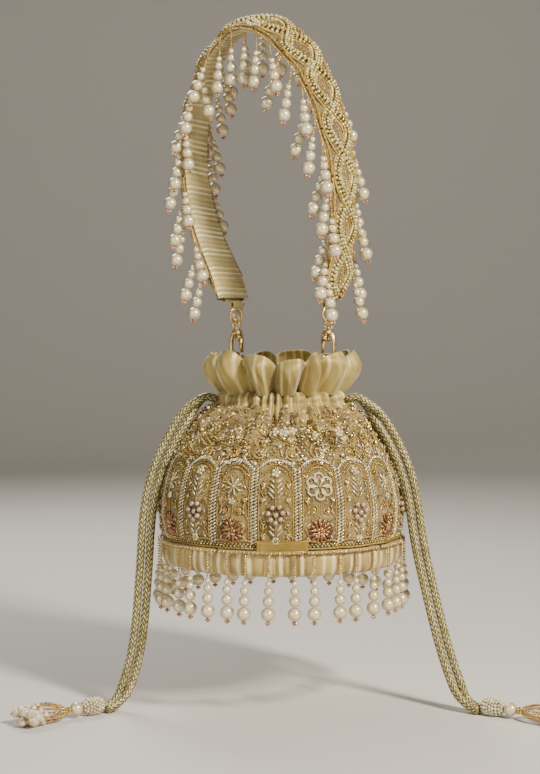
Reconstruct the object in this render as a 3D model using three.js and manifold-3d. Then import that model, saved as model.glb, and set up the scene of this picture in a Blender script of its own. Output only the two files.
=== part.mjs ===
// A potli bag: a drawstring pouch of embroidered silk with a gathered ruffle at its mouth, a beaded
// handle strap clipped to two rings inside the mouth, two doubled drawcords that end in bead tassels,
// and bead fringes under the base and along both edges of the strap.
//
// Millimetres, +Z up. The bag hangs by its strap. The origin is the point that a hand or a hook
// bears on: the underside of the strap's crown, straight above the pouch's axis. The small bare
// name plate faces -Y.

import * as THREE from 'three';
import { mergeVertices } from 'three/addons/utils/BufferGeometryUtils.js';
import Module from 'manifold-3d';

const wasm = await Module();
wasm.setup();

// ---- driving dimensions -------------------------------------------------------------------------
// Heights inside the model are counted from the base, and the whole is lowered by CROWN_Z at the end.
const CROWN_Z = 313.9;          // underside of the strap's crown above the base
const FLOOR_Z = -83;            // the surface on which the tassels come to lie
const GAP = 0.3;                // clearance between separate pieces

const BASE_R = 67.5;            // stiff disc in the base
const BAND_R = 71.6;            // padded silk roll round the base
const BAND_H = 16;
const BODY_SEGMENTS = 32;
const LINING_SEGMENTS = 24;
const BODY_PROFILE = [
  [71.5, 16.4], [73.2, 26], [73.4, 38], [70.2, 54], [62.6, 70], [52.5, 84], [40.5, 94.4],
];
const BODY_WALL = 1.4;
const LINING_WALL = 0.8;
const NECK_R = 37.6;            // outside of the drawstring casing
const NECK_Z = [94.8, 101.2];
const THROAT_R = 34;            // outside of the lining in the throat
const RUFFLE_RIM_R = 45;
const RUFFLE_Z = [101.5, 125];
const RUFFLE_FOLDS = 14;
const RUFFLE_SWAY = 4;          // how far a fold stands out at the rim
const RUFFLE_STEPS = 5;         // facets to a fold

const PLATE = { width: 29, height: 7, thick: 0.9, z: 18 };

const PEARLS = [3.5, 5, 6.5, 8];         // diameters down a strand
const SEED_R = 0.8;
const BASE_SEEDS = 14.5;                  // run of gold seed beads above the pearls, on the base fringe
const STRAP_SEEDS = 10.5;                 // and on the strap's fringes
const STRAND_SIDES = 5;
const PEARL_RUN = PEARLS.reduce((sum, d) => sum + d, 0);
const STRAND_TIP = 2.6;                   // trefoil of seed beads below the last pearl

const FRINGE_R = 74.6;
const FRINGE_TOP = 13.2;
const FRINGE_NODES = 9;
const FRINGE_PER_NODE = 4;

const HANDLE_TURN = THREE.MathUtils.degToRad(38);   // the strap's plane, turned right leg forward
const STRAP_W = 31;
// How far the strap leans, its far edge higher, in degrees at shares of its length.
const STRAP_ROLL = [[0, 0], [0.28, 14], [0.44, 22], [0.56, 14], [0.7, 0], [0.84, -11], [1, -11]];
const STRAP_STEPS = 34;
const STRAP_LINE = [[-38, 158], [-43.5, 172], [-52, 187.5], [-60, 204], [-66, 224], [-69, 250], [-66, 277],
  [-58, 299], [-45, 316], [-27, 325], [-8, 321.5], [8, 310], [22, 293], [33.5, 271], [41, 247],
  [44.5, 222], [44.5, 199], [42.5, 180], [37.5, 158]];
const STRAP_LAYERS = { lining: [-2.2, -1.5], core: [-0.9, 0.9], braid: [1.5, 3.3] };
const STRAP_FRINGE_NODES = 6;             // on each edge
const STRAP_PER_NODE = 5;
const STRAP_FRINGE_U = [0.04, 0.965];    // the run of the edge that carries strands
const SPLAY = 11.9;                       // how far crowded strands push apart at their pearls
const SPLAY_STEP = THREE.MathUtils.degToRad(60);
const CROWDED = [0.35, 0.75];             // steepness over which the strands come to crowd

const CLIP_S = 35;                        // clasps and rings stand this far from the axis
const RING_Z = 149;                       // centre of each jump ring
const JUMP_RING = { r: 5.4, wire: 0.8 };
const MOUTH_RING = { r: 5, wire: 0.9 };
const HOOK_Z = 119.9;                     // where the mouth ring bears on the clasp's hook
const HOOK_WIRE = 1.1;

const CORD_R = 2.4;
const CORD_SPREAD = 2.6;                  // half the spacing of the two cords of a pair
const CORD_TWIST = 0.16;                  // share of the cord over which the pair turns at either end
const CORD_SIDES = 8;
const CORD_STEPS = 22;
const CORD_LEFT = [
  [-39, -7, 98.2], [-45.5, -8.6, 99.4], [-54, -10.8, 92.5], [-62, -13.4, 81], [-69.2, -15.8, 67.5],
  [-74.8, -17.6, 53], [-78.4, -19, 38], [-80.2, -20.4, 22], [-81.2, -21.6, 4], [-82.4, -23, -14],
  [-83.8, -24.6, -32], [-86.2, -27, -50], [-89.8, -30.2, -65], [-94.8, -34.6, -76],
  [-101, -39.6, -80.2], [-104, -42, -80.4],
];
const CORD_RIGHT = [
  [39, -7, 98.2], [45, -8.8, 99.2], [53, -11.2, 93], [61.2, -14, 82], [68.6, -16.6, 68.5],
  [74.2, -18.6, 54], [77.8, -20.2, 38], [80, -21.8, 22], [82.8, -23.4, 6], [86.4, -25.4, -10],
  [90.6, -28, -28], [95.2, -31, -46], [100.2, -34.4, -62], [106, -38.4, -75.4],
  [112.6, -42.8, -80.2], [115.8, -44.9, -80.4],
];
const TASSEL = {
  collarR: 4.8, collarL: 13, pearlR: 4, strands: 7, strandL: 20, dropL: 9, dropR: 3, flare: 9,
};

// ---- materials ----------------------------------------------------------------------------------
const paint = (color, roughness, metalness = 0) => (
  new THREE.MeshStandardMaterial({ color, roughness, metalness })
);
const MATERIALS = {
  zari: paint(0xb9995f, 0.55, 0.25),
  silk: paint(0xd8c78e, 0.45),
  lining: paint(0x8a7748, 0.8),
  board: paint(0x9b8a6a, 0.9),
  pearl: paint(0xe6ddc8, 0.25),
  goldBead: paint(0xd9a650, 0.3, 0.8),
  whiteBead: paint(0xf1ece2, 0.35),
  gold: paint(0xd8aa4e, 0.22, 1),
  braid: paint(0xcbb87c, 0.6, 0.15),
};

// ---- solids: manifold joins and cuts -------------------------------------------------------------
function toSolid(geometry) {
  const plain = geometry.clone();
  for (const name of ['normal', 'uv', 'uv1']) plain.deleteAttribute(name);
  const merged = mergeVertices(plain, 1e-4);
  return new wasm.Manifold(new wasm.Mesh({
    numProp: 3,
    vertProperties: Float32Array.from(merged.attributes.position.array),
    triVerts: Uint32Array.from(merged.index.array),
  }));
}

function toGeometry(solid) {
  const mesh = solid.getMesh();
  const geometry = new THREE.BufferGeometry();
  geometry.setAttribute('position', new THREE.BufferAttribute(Float32Array.from(mesh.vertProperties), 3));
  geometry.setIndex(new THREE.BufferAttribute(Uint32Array.from(mesh.triVerts), 1));
  geometry.computeVertexNormals();
  return geometry;
}

const join = (geometries) => toGeometry(geometries.map(toSolid).reduce((a, b) => a.add(b)));
const cut = (geometry, ...tools) => (
  toGeometry(tools.map(toSolid).reduce((a, b) => a.subtract(b), toSolid(geometry)))
);

// ---- shape helpers ------------------------------------------------------------------------------
// A lathe about Z from [radius, height] points, with the outside going up. A ring's profile is closed.
function turned(points, segments) {
  const geometry = new THREE.LatheGeometry(points.map(([r, z]) => new THREE.Vector2(r, z)), segments);
  return geometry.rotateX(Math.PI / 2);
}

function turnedRing(outer, inner, segments) {
  return turned([...outer, ...[...inner].reverse(), outer[0]], segments);
}

// A ring of round wire that stands in the plane x = 0.
function wireRing({ r, wire }, grow = 0, steps = 14, sides = 6) {
  return new THREE.TorusGeometry(r, wire + grow, sides, steps).rotateY(Math.PI / 2);
}

// An outline of [x, z] points, extruded along Y about the plane y = 0.
function plateXZ(points, width, hole) {
  const shape = new THREE.Shape(points.map(([x, z]) => new THREE.Vector2(x, z)));
  if (hole) shape.holes.push(new THREE.Path().absarc(hole.x, hole.z, hole.r, 0, 2 * Math.PI, true));
  const extrusion = { depth: width, bevelEnabled: false, curveSegments: 6 };
  const geometry = new THREE.ExtrudeGeometry(shape, extrusion);
  return geometry.rotateX(Math.PI / 2).translate(0, width / 2, 0);
}

function circleXZ(x, z, r, count = 12) {
  return Array.from({ length: count }, (_, i) => {
    const a = (2 * Math.PI * (i + 0.5)) / count;
    return [x + r * Math.cos(a), z + r * Math.sin(a)];
  });
}

function tube(points, radius, sides, steps) {
  const section = new THREE.Shape(Array.from({ length: sides }, (_, i) => {
    const a = (2 * Math.PI * i) / sides;
    return new THREE.Vector2(radius * Math.cos(a), radius * Math.sin(a));
  }));
  const path = new THREE.CatmullRomCurve3(points, false, 'centripetal');
  return new THREE.ExtrudeGeometry(section, { steps, extrudePath: path, bevelEnabled: false });
}

const root = new THREE.Group();
const bag = new THREE.Group();
const handle = new THREE.Group();
handle.rotation.z = -HANDLE_TURN;
root.add(bag, handle);
root.position.z = -CROWN_Z;

function add(parent, name, geometry, material) {
  const mesh = new THREE.Mesh(geometry, material);
  mesh.name = name;
  parent.add(mesh);
  return mesh;
}

// ---- pouch --------------------------------------------------------------------------------------
const inset = (profile, by) => profile.map(([r, z]) => [r - by, z]);

function buildPouch() {
  const inner = inset(BODY_PROFILE, BODY_WALL);
  add(bag, 'embroidered_body', turnedRing(BODY_PROFILE, inner, BODY_SEGMENTS), MATERIALS.zari);

  const liningOuter = inset(inner.slice(1, -1), GAP + 0.6);
  liningOuter.unshift([BASE_R - 0.8, 4.6], [BASE_R - 0.8, 16.2]);
  liningOuter.push([THROAT_R + 4.2, 92.2], [THROAT_R, 94.2], [THROAT_R, 100.8]);
  const lining = turnedRing(liningOuter, inset(liningOuter, LINING_WALL), LINING_SEGMENTS);
  add(bag, 'pouch_lining', lining, MATERIALS.lining);
}

function buildBase() {
  const cover = turned([[0, 0], [BASE_R - 5.5, 0], [BASE_R - 5.5, 1.6], [0, 1.6]], BODY_SEGMENTS);
  add(bag, 'base_cover', cover, MATERIALS.silk);
  const board = turned([[0, 1.9], [BASE_R - 5.5, 1.9], [BASE_R - 5.5, 4.1], [0, 4.1]], BODY_SEGMENTS);
  add(bag, 'base_board', board, MATERIALS.board);

  const middle = BAND_R - 4.4;
  const roll = [
    [middle - 4.6, 0.2], [middle + 1.5, 0.1], [BAND_R - 0.6, 3.2], [BAND_R, 8], [BAND_R - 0.6, 12.8],
    [middle + 2, BAND_H - 0.2], [middle + 0.4, BAND_H - 0.2], [middle + 0.4, 4.4], [middle - 4.6, 4.2],
  ];
  add(bag, 'bottom_band', turnedRing(roll, [], BODY_SEGMENTS), MATERIALS.silk);
}

function buildNamePlate() {
  const { width, height, thick, z } = PLATE;
  const plate = new THREE.BoxGeometry(width, thick, height, 8, 1, 1);
  const inside = BAND_R + 1.4;
  bend(plate, (x, y, dz) => {
    const a = x / inside;
    const r = inside + thick / 2 - y;
    return [r * Math.sin(a), -r * Math.cos(a), z + dz];
  });
  add(bag, 'name_plate', plate, MATERIALS.gold);
}

// Move every vertex of a geometry by a function of its position.
function bend(geometry, move) {
  const position = geometry.attributes.position;
  for (let i = 0; i < position.count; i += 1) {
    position.setXYZ(i, ...move(position.getX(i), position.getY(i), position.getZ(i)));
  }
  geometry.computeVertexNormals();
  return geometry;
}

// The drawstring casing is a folded channel, open towards the throat, in which the drawcords run.
function buildNeck() {
  const [low, high] = NECK_Z;
  const outer = [[NECK_R - 1.6, low], [NECK_R, low + 1.6], [NECK_R, high - 1.6], [NECK_R - 1.6, high]];
  const inner = [[THROAT_R + 0.7, low], [THROAT_R + 2.4, low + 1], [THROAT_R + 2.4, high - 1],
    [THROAT_R + 0.7, high]];
  add(bag, 'neck_casing', turnedRing(outer, inner, BODY_SEGMENTS), MATERIALS.silk);
}

// Gathered silk above the casing: its folds deepen towards the rim, one of them before each clasp.
function buildRuffle() {
  const [low, high] = RUFFLE_Z;
  const wall = 1.3;
  const rise = [0, 0.35, 0.75, 1];
  const foot = NECK_R - 1.6;
  const outer = rise.map((t) => [
    foot + (RUFFLE_RIM_R - foot) * Math.sin(t * 1.9) / Math.sin(1.9),
    low + (high - low) * t,
  ]);
  const ruffle = turnedRing(outer, inset(outer, wall), RUFFLE_FOLDS * RUFFLE_STEPS);
  bend(ruffle, (x, y, z) => {
    const r = Math.hypot(x, y);
    const t = Math.min(Math.max((z - low) / (high - low), 0), 1);
    const angle = Math.atan2(y, x);
    const fold = Math.cos(RUFFLE_FOLDS * (angle + HANDLE_TURN));
    const grow = (r + (0.6 + (RUFFLE_SWAY - 0.6) * t) * fold) / r;
    return [x * grow, y * grow, z + 1.4 * t * fold];
  });
  add(bag, 'ruffle', ruffle, MATERIALS.silk);
}

// ---- bead strands ---------------------------------------------------------------------------------
// One strand hangs from the origin: a thin run of seed beads and a taper that carries the four pearls.
function strandShape(seedRun) {
  const end = -(seedRun + PEARL_RUN + STRAND_TIP);
  const pearlTop = -seedRun;
  const bigR = PEARLS[PEARLS.length - 1] / 2;
  const line = [
    [0, end], [bigR, end + STRAND_TIP + bigR], [PEARLS[0] / 2, pearlTop - 1], [SEED_R, pearlTop],
    [SEED_R, 0], [0, 0],
  ];
  return turned(line, STRAND_SIDES);
}

// A strand from a point, leaning so that its big pearl moves by the given offset.
function strandAt(point, offset, seedRun) {
  const drop = seedRun + PEARL_RUN - PEARLS[PEARLS.length - 1] / 2;
  const down = new THREE.Vector3(offset.x, offset.y, -drop).normalize();
  const turn = new THREE.Quaternion().setFromUnitVectors(new THREE.Vector3(0, 0, -1), down);
  return strandShape(seedRun).applyQuaternion(turn).translate(point.x, point.y, point.z);
}

function buildBaseFringe() {
  const count = FRINGE_NODES * FRINGE_PER_NODE;
  const pitch = (2 * Math.PI) / count;
  for (let node = 0; node < FRINGE_NODES; node += 1) {
    const span = (FRINGE_PER_NODE - 0.06) * pitch;
    const middle = (node + 0.5) * FRINGE_PER_NODE * pitch;
    const tape = new THREE.BoxGeometry(span, 1.6, 2, FRINGE_PER_NODE * 2, 1, 1);
    bend(tape, (x, y, z) => {
      const r = FRINGE_R - y;
      return [r * Math.cos(middle - x), r * Math.sin(middle - x), FRINGE_TOP + z];
    });
    const pieces = [toOutward(tape)];
    for (let i = 0; i < FRINGE_PER_NODE; i += 1) {
      const a = (node * FRINGE_PER_NODE + i + 0.5) * pitch;
      const top = new THREE.Vector3(FRINGE_R * Math.cos(a), FRINGE_R * Math.sin(a), FRINGE_TOP);
      pieces.push(strandAt(top, { x: 0, y: 0 }, BASE_SEEDS));
    }
    add(bag, `base_fringe_${node + 1}`, join(pieces), MATERIALS.pearl);
  }
}

// Turn a closed geometry's faces outwards when a bend has mirrored it.
function toOutward(geometry) {
  const p = geometry.attributes.position;
  const index = geometry.index;
  const at = (i) => new THREE.Vector3().fromBufferAttribute(p, index.getX(i));
  let volume = 0;
  for (let i = 0; i < index.count; i += 3) volume += at(i).dot(at(i + 1).cross(at(i + 2)));
  if (volume < 0) {
    for (let i = 0; i < index.count; i += 3) {
      const keep = index.getX(i);
      index.setX(i, index.getX(i + 1));
      index.setX(i + 1, keep);
    }
  }
  return geometry;
}

// ---- handle strap ---------------------------------------------------------------------------------
const strapCurve = new THREE.CatmullRomCurve3(
  STRAP_LINE.map(([s, z]) => new THREE.Vector3(s, 0, z)), false, 'centripetal',
);

function strapRoll(u) {
  const next = Math.max(1, STRAP_ROLL.findIndex(([share]) => share >= u));
  const [[from, start], [to, end]] = [STRAP_ROLL[next - 1], STRAP_ROLL[next]];
  return THREE.MathUtils.degToRad(start + (end - start) * THREE.MathUtils.smoothstep(u, from, to));
}

// The strap's frame at a share of its length: point, tangent, width direction and outward normal.
function strapFrame(u) {
  const point = strapCurve.getPointAt(u);
  const along = strapCurve.getTangentAt(u);
  const across = new THREE.Vector3(0, 1, 0);
  const out = along.clone().cross(across);
  const roll = strapRoll(u);
  const width = across.clone().multiplyScalar(Math.cos(roll)).addScaledVector(out, Math.sin(roll));
  return { point, along, width, out: along.clone().cross(width) };
}

function strapPoint(u, w, n) {
  const frame = strapFrame(u);
  return frame.point.addScaledVector(frame.width, w).addScaledVector(frame.out, n);
}

function strapLayer([low, high], halfWidth) {
  const layer = new THREE.BoxGeometry(1, 2 * halfWidth, high - low, STRAP_STEPS, 1, 1);
  return bend(layer, (x, y, z) => strapPoint(x + 0.5, y, z + (low + high) / 2).toArray());
}

function buildStrap() {
  add(handle, 'strap_lining', strapLayer(STRAP_LAYERS.lining, STRAP_W / 2 - 0.5), MATERIALS.silk);
  add(handle, 'strap_core', strapLayer(STRAP_LAYERS.core, STRAP_W / 2), MATERIALS.zari);
  add(handle, 'strap_braid', strapLayer(STRAP_LAYERS.braid, STRAP_W / 2 - 0.5), MATERIALS.braid);
}

// Where the strap is steep its strands hang one over the next, so they push apart three ways.
function strandLean(u, edge, index) {
  const steep = Math.abs(strapCurve.getTangentAt(u).z);
  const crowd = THREE.MathUtils.smoothstep(steep, CROWDED[0], CROWDED[1]);
  const angle = ((index % 3) - 1) * SPLAY_STEP;
  return { x: crowd * SPLAY * Math.sin(angle), y: edge * crowd * SPLAY * Math.cos(angle) };
}

function buildStrapFringe(edge, label) {
  const count = STRAP_FRINGE_NODES * STRAP_PER_NODE;
  const [first, last] = STRAP_FRINGE_U;
  const pitch = (last - first) / count;
  const offset = STRAP_W / 2 + GAP + 0.8;
  for (let node = 0; node < STRAP_FRINGE_NODES; node += 1) {
    const span = pitch * (STRAP_PER_NODE - 0.08);
    const middle = first + pitch * STRAP_PER_NODE * (node + 0.5);
    const tape = new THREE.BoxGeometry(span, 1, 2, STRAP_PER_NODE, 1, 1);
    bend(tape, (x, y, z) => strapPoint(middle + x, edge * offset + y, z).toArray());
    const pieces = [tape];
    for (let i = 0; i < STRAP_PER_NODE; i += 1) {
      const index = node * STRAP_PER_NODE + i;
      const u = first + pitch * (index + 0.5);
      const top = strapPoint(u, edge * (offset + 0.6), 0);
      pieces.push(strandAt(top, strandLean(u, edge, index), STRAP_SEEDS));
    }
    add(handle, `strap_fringe_${label}_${node + 1}`, join(pieces), MATERIALS.pearl);
  }
}

// ---- clasps and rings -------------------------------------------------------------------------------
// side is -1 for the left clip and +1 for the right. The clip's own frame has +X towards the bag's
// axis, so that both gates open inwards from the middle.
const PIVOT = { x: 2.8, z: 14.5, pin: 0.55 };
const EYE = { z: 22.8, hole: 2, r: 3.5 };
const HOOK_PATH = [
  [0, 19.4], [-2.4, 17], [-3.9, 12.6], [-4, 8], [-3.3, 3.2], [-1.5, 0.5], [0.5, 0], [2.8, 1.5], [3.9, 4.6],
];
const LEVER = [
  [1.7, 13.2], [2.1, 16], [3.6, 16], [4.3, 14.6], [5.6, 12.2], [4.7, 11.6], [4.8, 6], [3.6, 5.6], [3.2, 6.2],
];

function claspBody() {
  const path = HOOK_PATH.map(([x, z]) => new THREE.Vector3(x, 0, z));
  const hook = tube(path, HOOK_WIRE, 6, 13);
  const eye = plateXZ(circleXZ(0, EYE.z, EYE.r), 2, { x: 0, z: EYE.z, r: EYE.hole });
  const bridge = new THREE.BoxGeometry(6.6, 3.8, 2.6).translate(0.6, 0, 18);
  const ear = (y) => new THREE.BoxGeometry(3.6, 0.7, 5).translate(2.1, y, 15.2);
  const pin = new THREE.CylinderGeometry(PIVOT.pin, PIVOT.pin, 3.4, 8).translate(PIVOT.x, 0, PIVOT.z);
  return join([hook, eye, bridge, ear(-1.55), ear(1.55), pin]);
}

function claspGate() {
  const boreR = PIVOT.pin + 0.25;
  const bore = new THREE.CylinderGeometry(boreR, boreR, 4, 8).translate(PIVOT.x, 0, PIVOT.z);
  return cut(plateXZ(LEVER, 1.8), bore);
}

function buildClip(side, label) {
  const clip = new THREE.Group();
  clip.position.set(side * CLIP_S, 0, HOOK_Z);
  clip.rotation.z = side > 0 ? Math.PI : 0;
  handle.add(clip);
  add(clip, `clasp_${label}`, claspBody(), MATERIALS.gold);
  add(clip, `clasp_gate_${label}`, claspGate(), MATERIALS.gold);
  add(clip, `jump_ring_${label}`, wireRing(JUMP_RING).translate(0, 0, RING_Z - HOOK_Z), MATERIALS.gold);
}

// A ribbon tab folded round the top of the jump ring and running up to the strap's end.
function buildStrapTab(side, label) {
  const end = side < 0 ? STRAP_LINE[0] : STRAP_LINE[STRAP_LINE.length - 1];
  const fold = RING_Z + JUMP_RING.r;
  const wrap = plateXZ(circleXZ(side * CLIP_S, fold, 2.3), 9);
  const strip = plateXZ([[side * CLIP_S - 1.3, fold + 1], [side * CLIP_S + 1.3, fold + 1],
    [end[0] + 1, end[1] - 2 * GAP], [end[0] - 1, end[1] - 2 * GAP]], 9);
  const ring = wireRing(JUMP_RING, GAP, 14, 6).translate(side * CLIP_S, 0, RING_Z);
  const tab = toSolid(join([wrap, strip])).subtract(toSolid(ring));
  add(handle, `strap_tab_${label}`, toGeometry(tab), MATERIALS.silk);
}

// The rings inside the mouth stand on tabs sewn to the throat. They turn with the pouch.
function buildMouthRing(side, label) {
  const centre = HOOK_Z - (MOUTH_RING.r - MOUTH_RING.wire - HOOK_WIRE - 0.1);
  const mouth = new THREE.Group();
  mouth.rotation.z = -HANDLE_TURN;
  bag.add(mouth);
  const ring = wireRing(MOUTH_RING).translate(side * CLIP_S, 0, centre);
  add(mouth, `mouth_ring_${label}`, ring, MATERIALS.gold);
  const fold = centre - MOUTH_RING.r;
  const at = side * CLIP_S;
  const wrap = plateXZ(circleXZ(at, fold, 2.2), 8);
  const foot = side * (THROAT_R - LINING_WALL - 1.8);
  const strip = plateXZ([
    [foot - 0.7, 95.6], [foot + 0.7, 95.6], [foot + 0.7, 101.4], [at + 1.2, fold - 0.8],
    [at - 1.2, fold - 0.8], [foot - 0.7, 101.4],
  ], 8);
  const cutter = wireRing(MOUTH_RING, GAP, 14, 6).translate(at, 0, centre);
  const tab = toSolid(join([wrap, strip])).subtract(toSolid(cutter));
  add(mouth, `mouth_tab_${label}`, toGeometry(tab), MATERIALS.silk);
}

// ---- drawcords and tassels ----------------------------------------------------------------------------
// The two cords of a pair leave the casing one in front of the other, come to lie side by side as
// seen from the front, the outer one further out, and lie side by side again on the ground.
function pairedCord(points, side, shift) {
  const along = points.map((p) => new THREE.Vector3(...p));
  const centre = new THREE.CatmullRomCurve3(along, false, 'centripetal');
  const count = 2 * points.length;
  return Array.from({ length: count + 1 }, (_, i) => {
    const t = i / count;
    const along = centre.getTangentAt(t);
    const seen = along.clone().cross(new THREE.Vector3(0, side, 0));
    const laid = new THREE.Vector3(0, 0, side).cross(along);
    const leaving = 1 - THREE.MathUtils.smoothstep(t, 0.02, CORD_TWIST);
    const landed = THREE.MathUtils.smoothstep(t, 1 - CORD_TWIST, 0.96);
    const across = seen.multiplyScalar(1 - leaving - landed).addScaledVector(laid, landed);
    across.addScaledVector(new THREE.Vector3(0, -1, 0), leaving);
    across.addScaledVector(along, -across.dot(along)).normalize();
    return centre.getPointAt(t).addScaledVector(across, shift);
  });
}

function buildCordPair(points, side, label) {
  for (const [shift, place] of [[CORD_SPREAD, 'outer'], [-CORD_SPREAD, 'inner']]) {
    const cord = tube(pairedCord(points, side, shift), CORD_R, CORD_SIDES, CORD_STEPS);
    add(bag, `drawcord_${label}_${place}`, cord, MATERIALS.braid);
  }
}

// The tassel lies on from the cord's end: a beaded collar, a pearl, and a bulging bundle of strands.
function buildTassel(points, label) {
  const end = new THREE.Vector3(...points[points.length - 1]);
  const before = new THREE.Vector3(...points[points.length - 2]);
  const level = end.clone().sub(before).setZ(0).normalize();
  const { collarR, collarL, pearlR, strands, strandL, dropL, dropR, flare } = TASSEL;
  const up = new THREE.Vector3(0, 0, 1);
  const basis = new THREE.Matrix4().makeBasis(up.clone().cross(level), up, level);
  const place = (geometry) => geometry.applyMatrix4(basis).translate(end.x, end.y, FLOOR_Z + collarR);
  const collarStart = 3 * GAP;
  const collarEnd = collarStart + collarL;
  const collar = turned([
    [0, collarStart], [collarR, collarStart], [collarR, collarEnd - 2], [collarR - 1.6, collarEnd],
    [0, collarEnd],
  ], 10);
  add(bag, `tassel_collar_${label}`, place(collar), MATERIALS.whiteBead);

  const pearlAt = collarEnd + GAP + pearlR;
  const bead = new THREE.SphereGeometry(pearlR, 8, 6).rotateX(Math.PI / 2).translate(0, 0, pearlAt);
  add(bag, `tassel_pearl_${label}`, place(bead), MATERIALS.pearl);

  const start = pearlAt + pearlR + GAP;
  const knot = turned([[0, 0], [2, 0.2], [2, 2], [0, 2.4]], 8).translate(0, 0, start);
  const pieces = [knot];
  for (let i = 0; i < strands; i += 1) {
    const fan = (i / (strands - 1) - 0.5) * 1.7;
    const side = flare * Math.sin(fan);
    const shape = turned([[0, 0], [1.1, strandL * 0.5], [0.9, strandL], [dropR, strandL + dropL * 0.6],
      [0, strandL + dropL]], 5);
    const aim = new THREE.Vector3(side, -1, strandL).normalize();
    shape.applyQuaternion(new THREE.Quaternion().setFromUnitVectors(new THREE.Vector3(0, 0, 1), aim));
    pieces.push(shape.translate(0, 0, start + 0.8));
  }
  add(bag, `tassel_strands_${label}`, place(join(pieces)), MATERIALS.goldBead);
}

buildPouch();
buildBase();
buildNamePlate();
buildNeck();
buildRuffle();
buildBaseFringe();
buildStrap();
buildStrapFringe(-1, 'near');
buildStrapFringe(1, 'far');
for (const [side, label] of [[-1, 'left'], [1, 'right']]) {
  buildClip(side, label);
  buildStrapTab(side, label);
  buildMouthRing(side, label);
}
buildCordPair(CORD_LEFT, -1, 'left');
buildCordPair(CORD_RIGHT, 1, 'right');
buildTassel(CORD_LEFT, 'left');
buildTassel(CORD_RIGHT, 'right');

export default root;
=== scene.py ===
"""A potli bag: an embroidered silk pouch with a ruffle, a beaded strap, doubled drawcords with bead
tassels, and pearl fringes. The frame is in metres, +Z up, with its origin under the strap's crown.
Until a piece is made, its points are in millimetres above the pouch's base."""

import math

import bpy
import numpy as np
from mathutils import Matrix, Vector


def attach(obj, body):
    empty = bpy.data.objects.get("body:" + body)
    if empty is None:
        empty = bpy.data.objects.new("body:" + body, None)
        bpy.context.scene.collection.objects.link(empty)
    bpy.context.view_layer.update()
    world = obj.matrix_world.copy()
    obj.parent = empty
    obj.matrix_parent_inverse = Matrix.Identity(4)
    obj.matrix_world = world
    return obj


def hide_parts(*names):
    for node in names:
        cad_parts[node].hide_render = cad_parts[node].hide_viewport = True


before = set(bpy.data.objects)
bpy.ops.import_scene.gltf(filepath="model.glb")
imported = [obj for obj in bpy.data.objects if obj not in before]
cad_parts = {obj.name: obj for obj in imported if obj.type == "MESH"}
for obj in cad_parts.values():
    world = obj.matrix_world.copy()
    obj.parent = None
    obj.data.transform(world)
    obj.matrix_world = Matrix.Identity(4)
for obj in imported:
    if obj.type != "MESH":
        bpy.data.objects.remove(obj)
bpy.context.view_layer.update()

MM = 0.001
CROWN = 313.9            # the crown's underside above the base
TURN = math.radians(38)  # the strap's plane, turned right leg forward
FLOOR = -83.0            # where the tassels lie
UP = np.array([0, 0, 1.0])
RNG = np.random.default_rng(7)


def mm(x, y, z):
    """A point in millimetres above the base, in the row's frame."""
    return Vector((x * MM, y * MM, (z - CROWN) * MM))


# ---- camera, floor and light --------------------------------------------------------------------
SENSOR, LENS = 36, 106
EYE, AIM = (-7, -960, 141), (-7, 0, 105)
STAGE_HALF_WIDTH = 3.5   # metres
STAGE_FRONT, STAGE_BEND, STAGE_BEND_R, STAGE_TOP = -3.0, 1.5, 0.8, 3.2
STAGE_GAP = 0.4          # the stage lies this far under FLOOR, in mm, just clear of the lowest piece
WORLD_COLOUR, WORLD_STRENGTH = (1.0, 0.94, 0.84, 1), 0.17
# Each light's name, place in mm, width in metres, power in watts and colour.
LIGHTS = [("key", (640, -760, 760), 0.22, 27, (1, 0.92, 0.80)),
          ("fill", (-700, -900, 300), 0.9, 5, (0.98, 0.97, 0.95)),
          ("back", (-300, 800, 800), 0.5, 9, (1, 0.95, 0.88))]
LIT_POINT = (0, 0, 120)


def add_object(name, data):
    made = bpy.data.objects.new(name, data)
    bpy.context.scene.collection.objects.link(made)
    return made


def stand(thing, eye, aim):
    """Put a camera or a light at one point, looking at another."""
    eye, aim = mm(*eye), mm(*aim)
    thing.location = eye
    thing.rotation_euler = (aim - eye).to_track_quat("-Z", "Y").to_euler()


def make_camera():
    data = bpy.data.cameras.new("camera")
    data.sensor_fit = "HORIZONTAL"
    data.sensor_width = SENSOR
    data.lens = LENS
    camera = add_object("camera", data)
    stand(camera, EYE, AIM)
    bpy.context.scene.camera = camera


def make_floor():
    """A pale floor that curves up into a backdrop."""
    bend = [(STAGE_BEND + STAGE_BEND_R * math.sin(a), STAGE_BEND_R - STAGE_BEND_R * math.cos(a))
            for a in np.linspace(0, math.pi / 2, 12)]
    profile = [(STAGE_FRONT, 0.0)] + bend + [(STAGE_BEND + STAGE_BEND_R, STAGE_TOP)]
    low = mm(0, 0, FLOOR - STAGE_GAP).z
    verts = [(x, y, low + z) for y, z in profile for x in (-STAGE_HALF_WIDTH, STAGE_HALF_WIDTH)]
    faces = [(2 * i, 2 * i + 1, 2 * i + 3, 2 * i + 2) for i in range(len(profile) - 1)]
    data = bpy.data.meshes.new("floor")
    data.from_pydata(verts, [], faces)
    data.polygons.foreach_set("use_smooth", [True] * len(faces))
    material = bpy.data.materials.new("floor")
    material.use_nodes = True
    shader = material.node_tree.nodes["Principled BSDF"]
    shader.inputs["Base Color"].default_value = (0.62, 0.60, 0.57, 1)
    shader.inputs["Roughness"].default_value = 0.85
    data.materials.append(material)
    add_object("floor", data)


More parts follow.
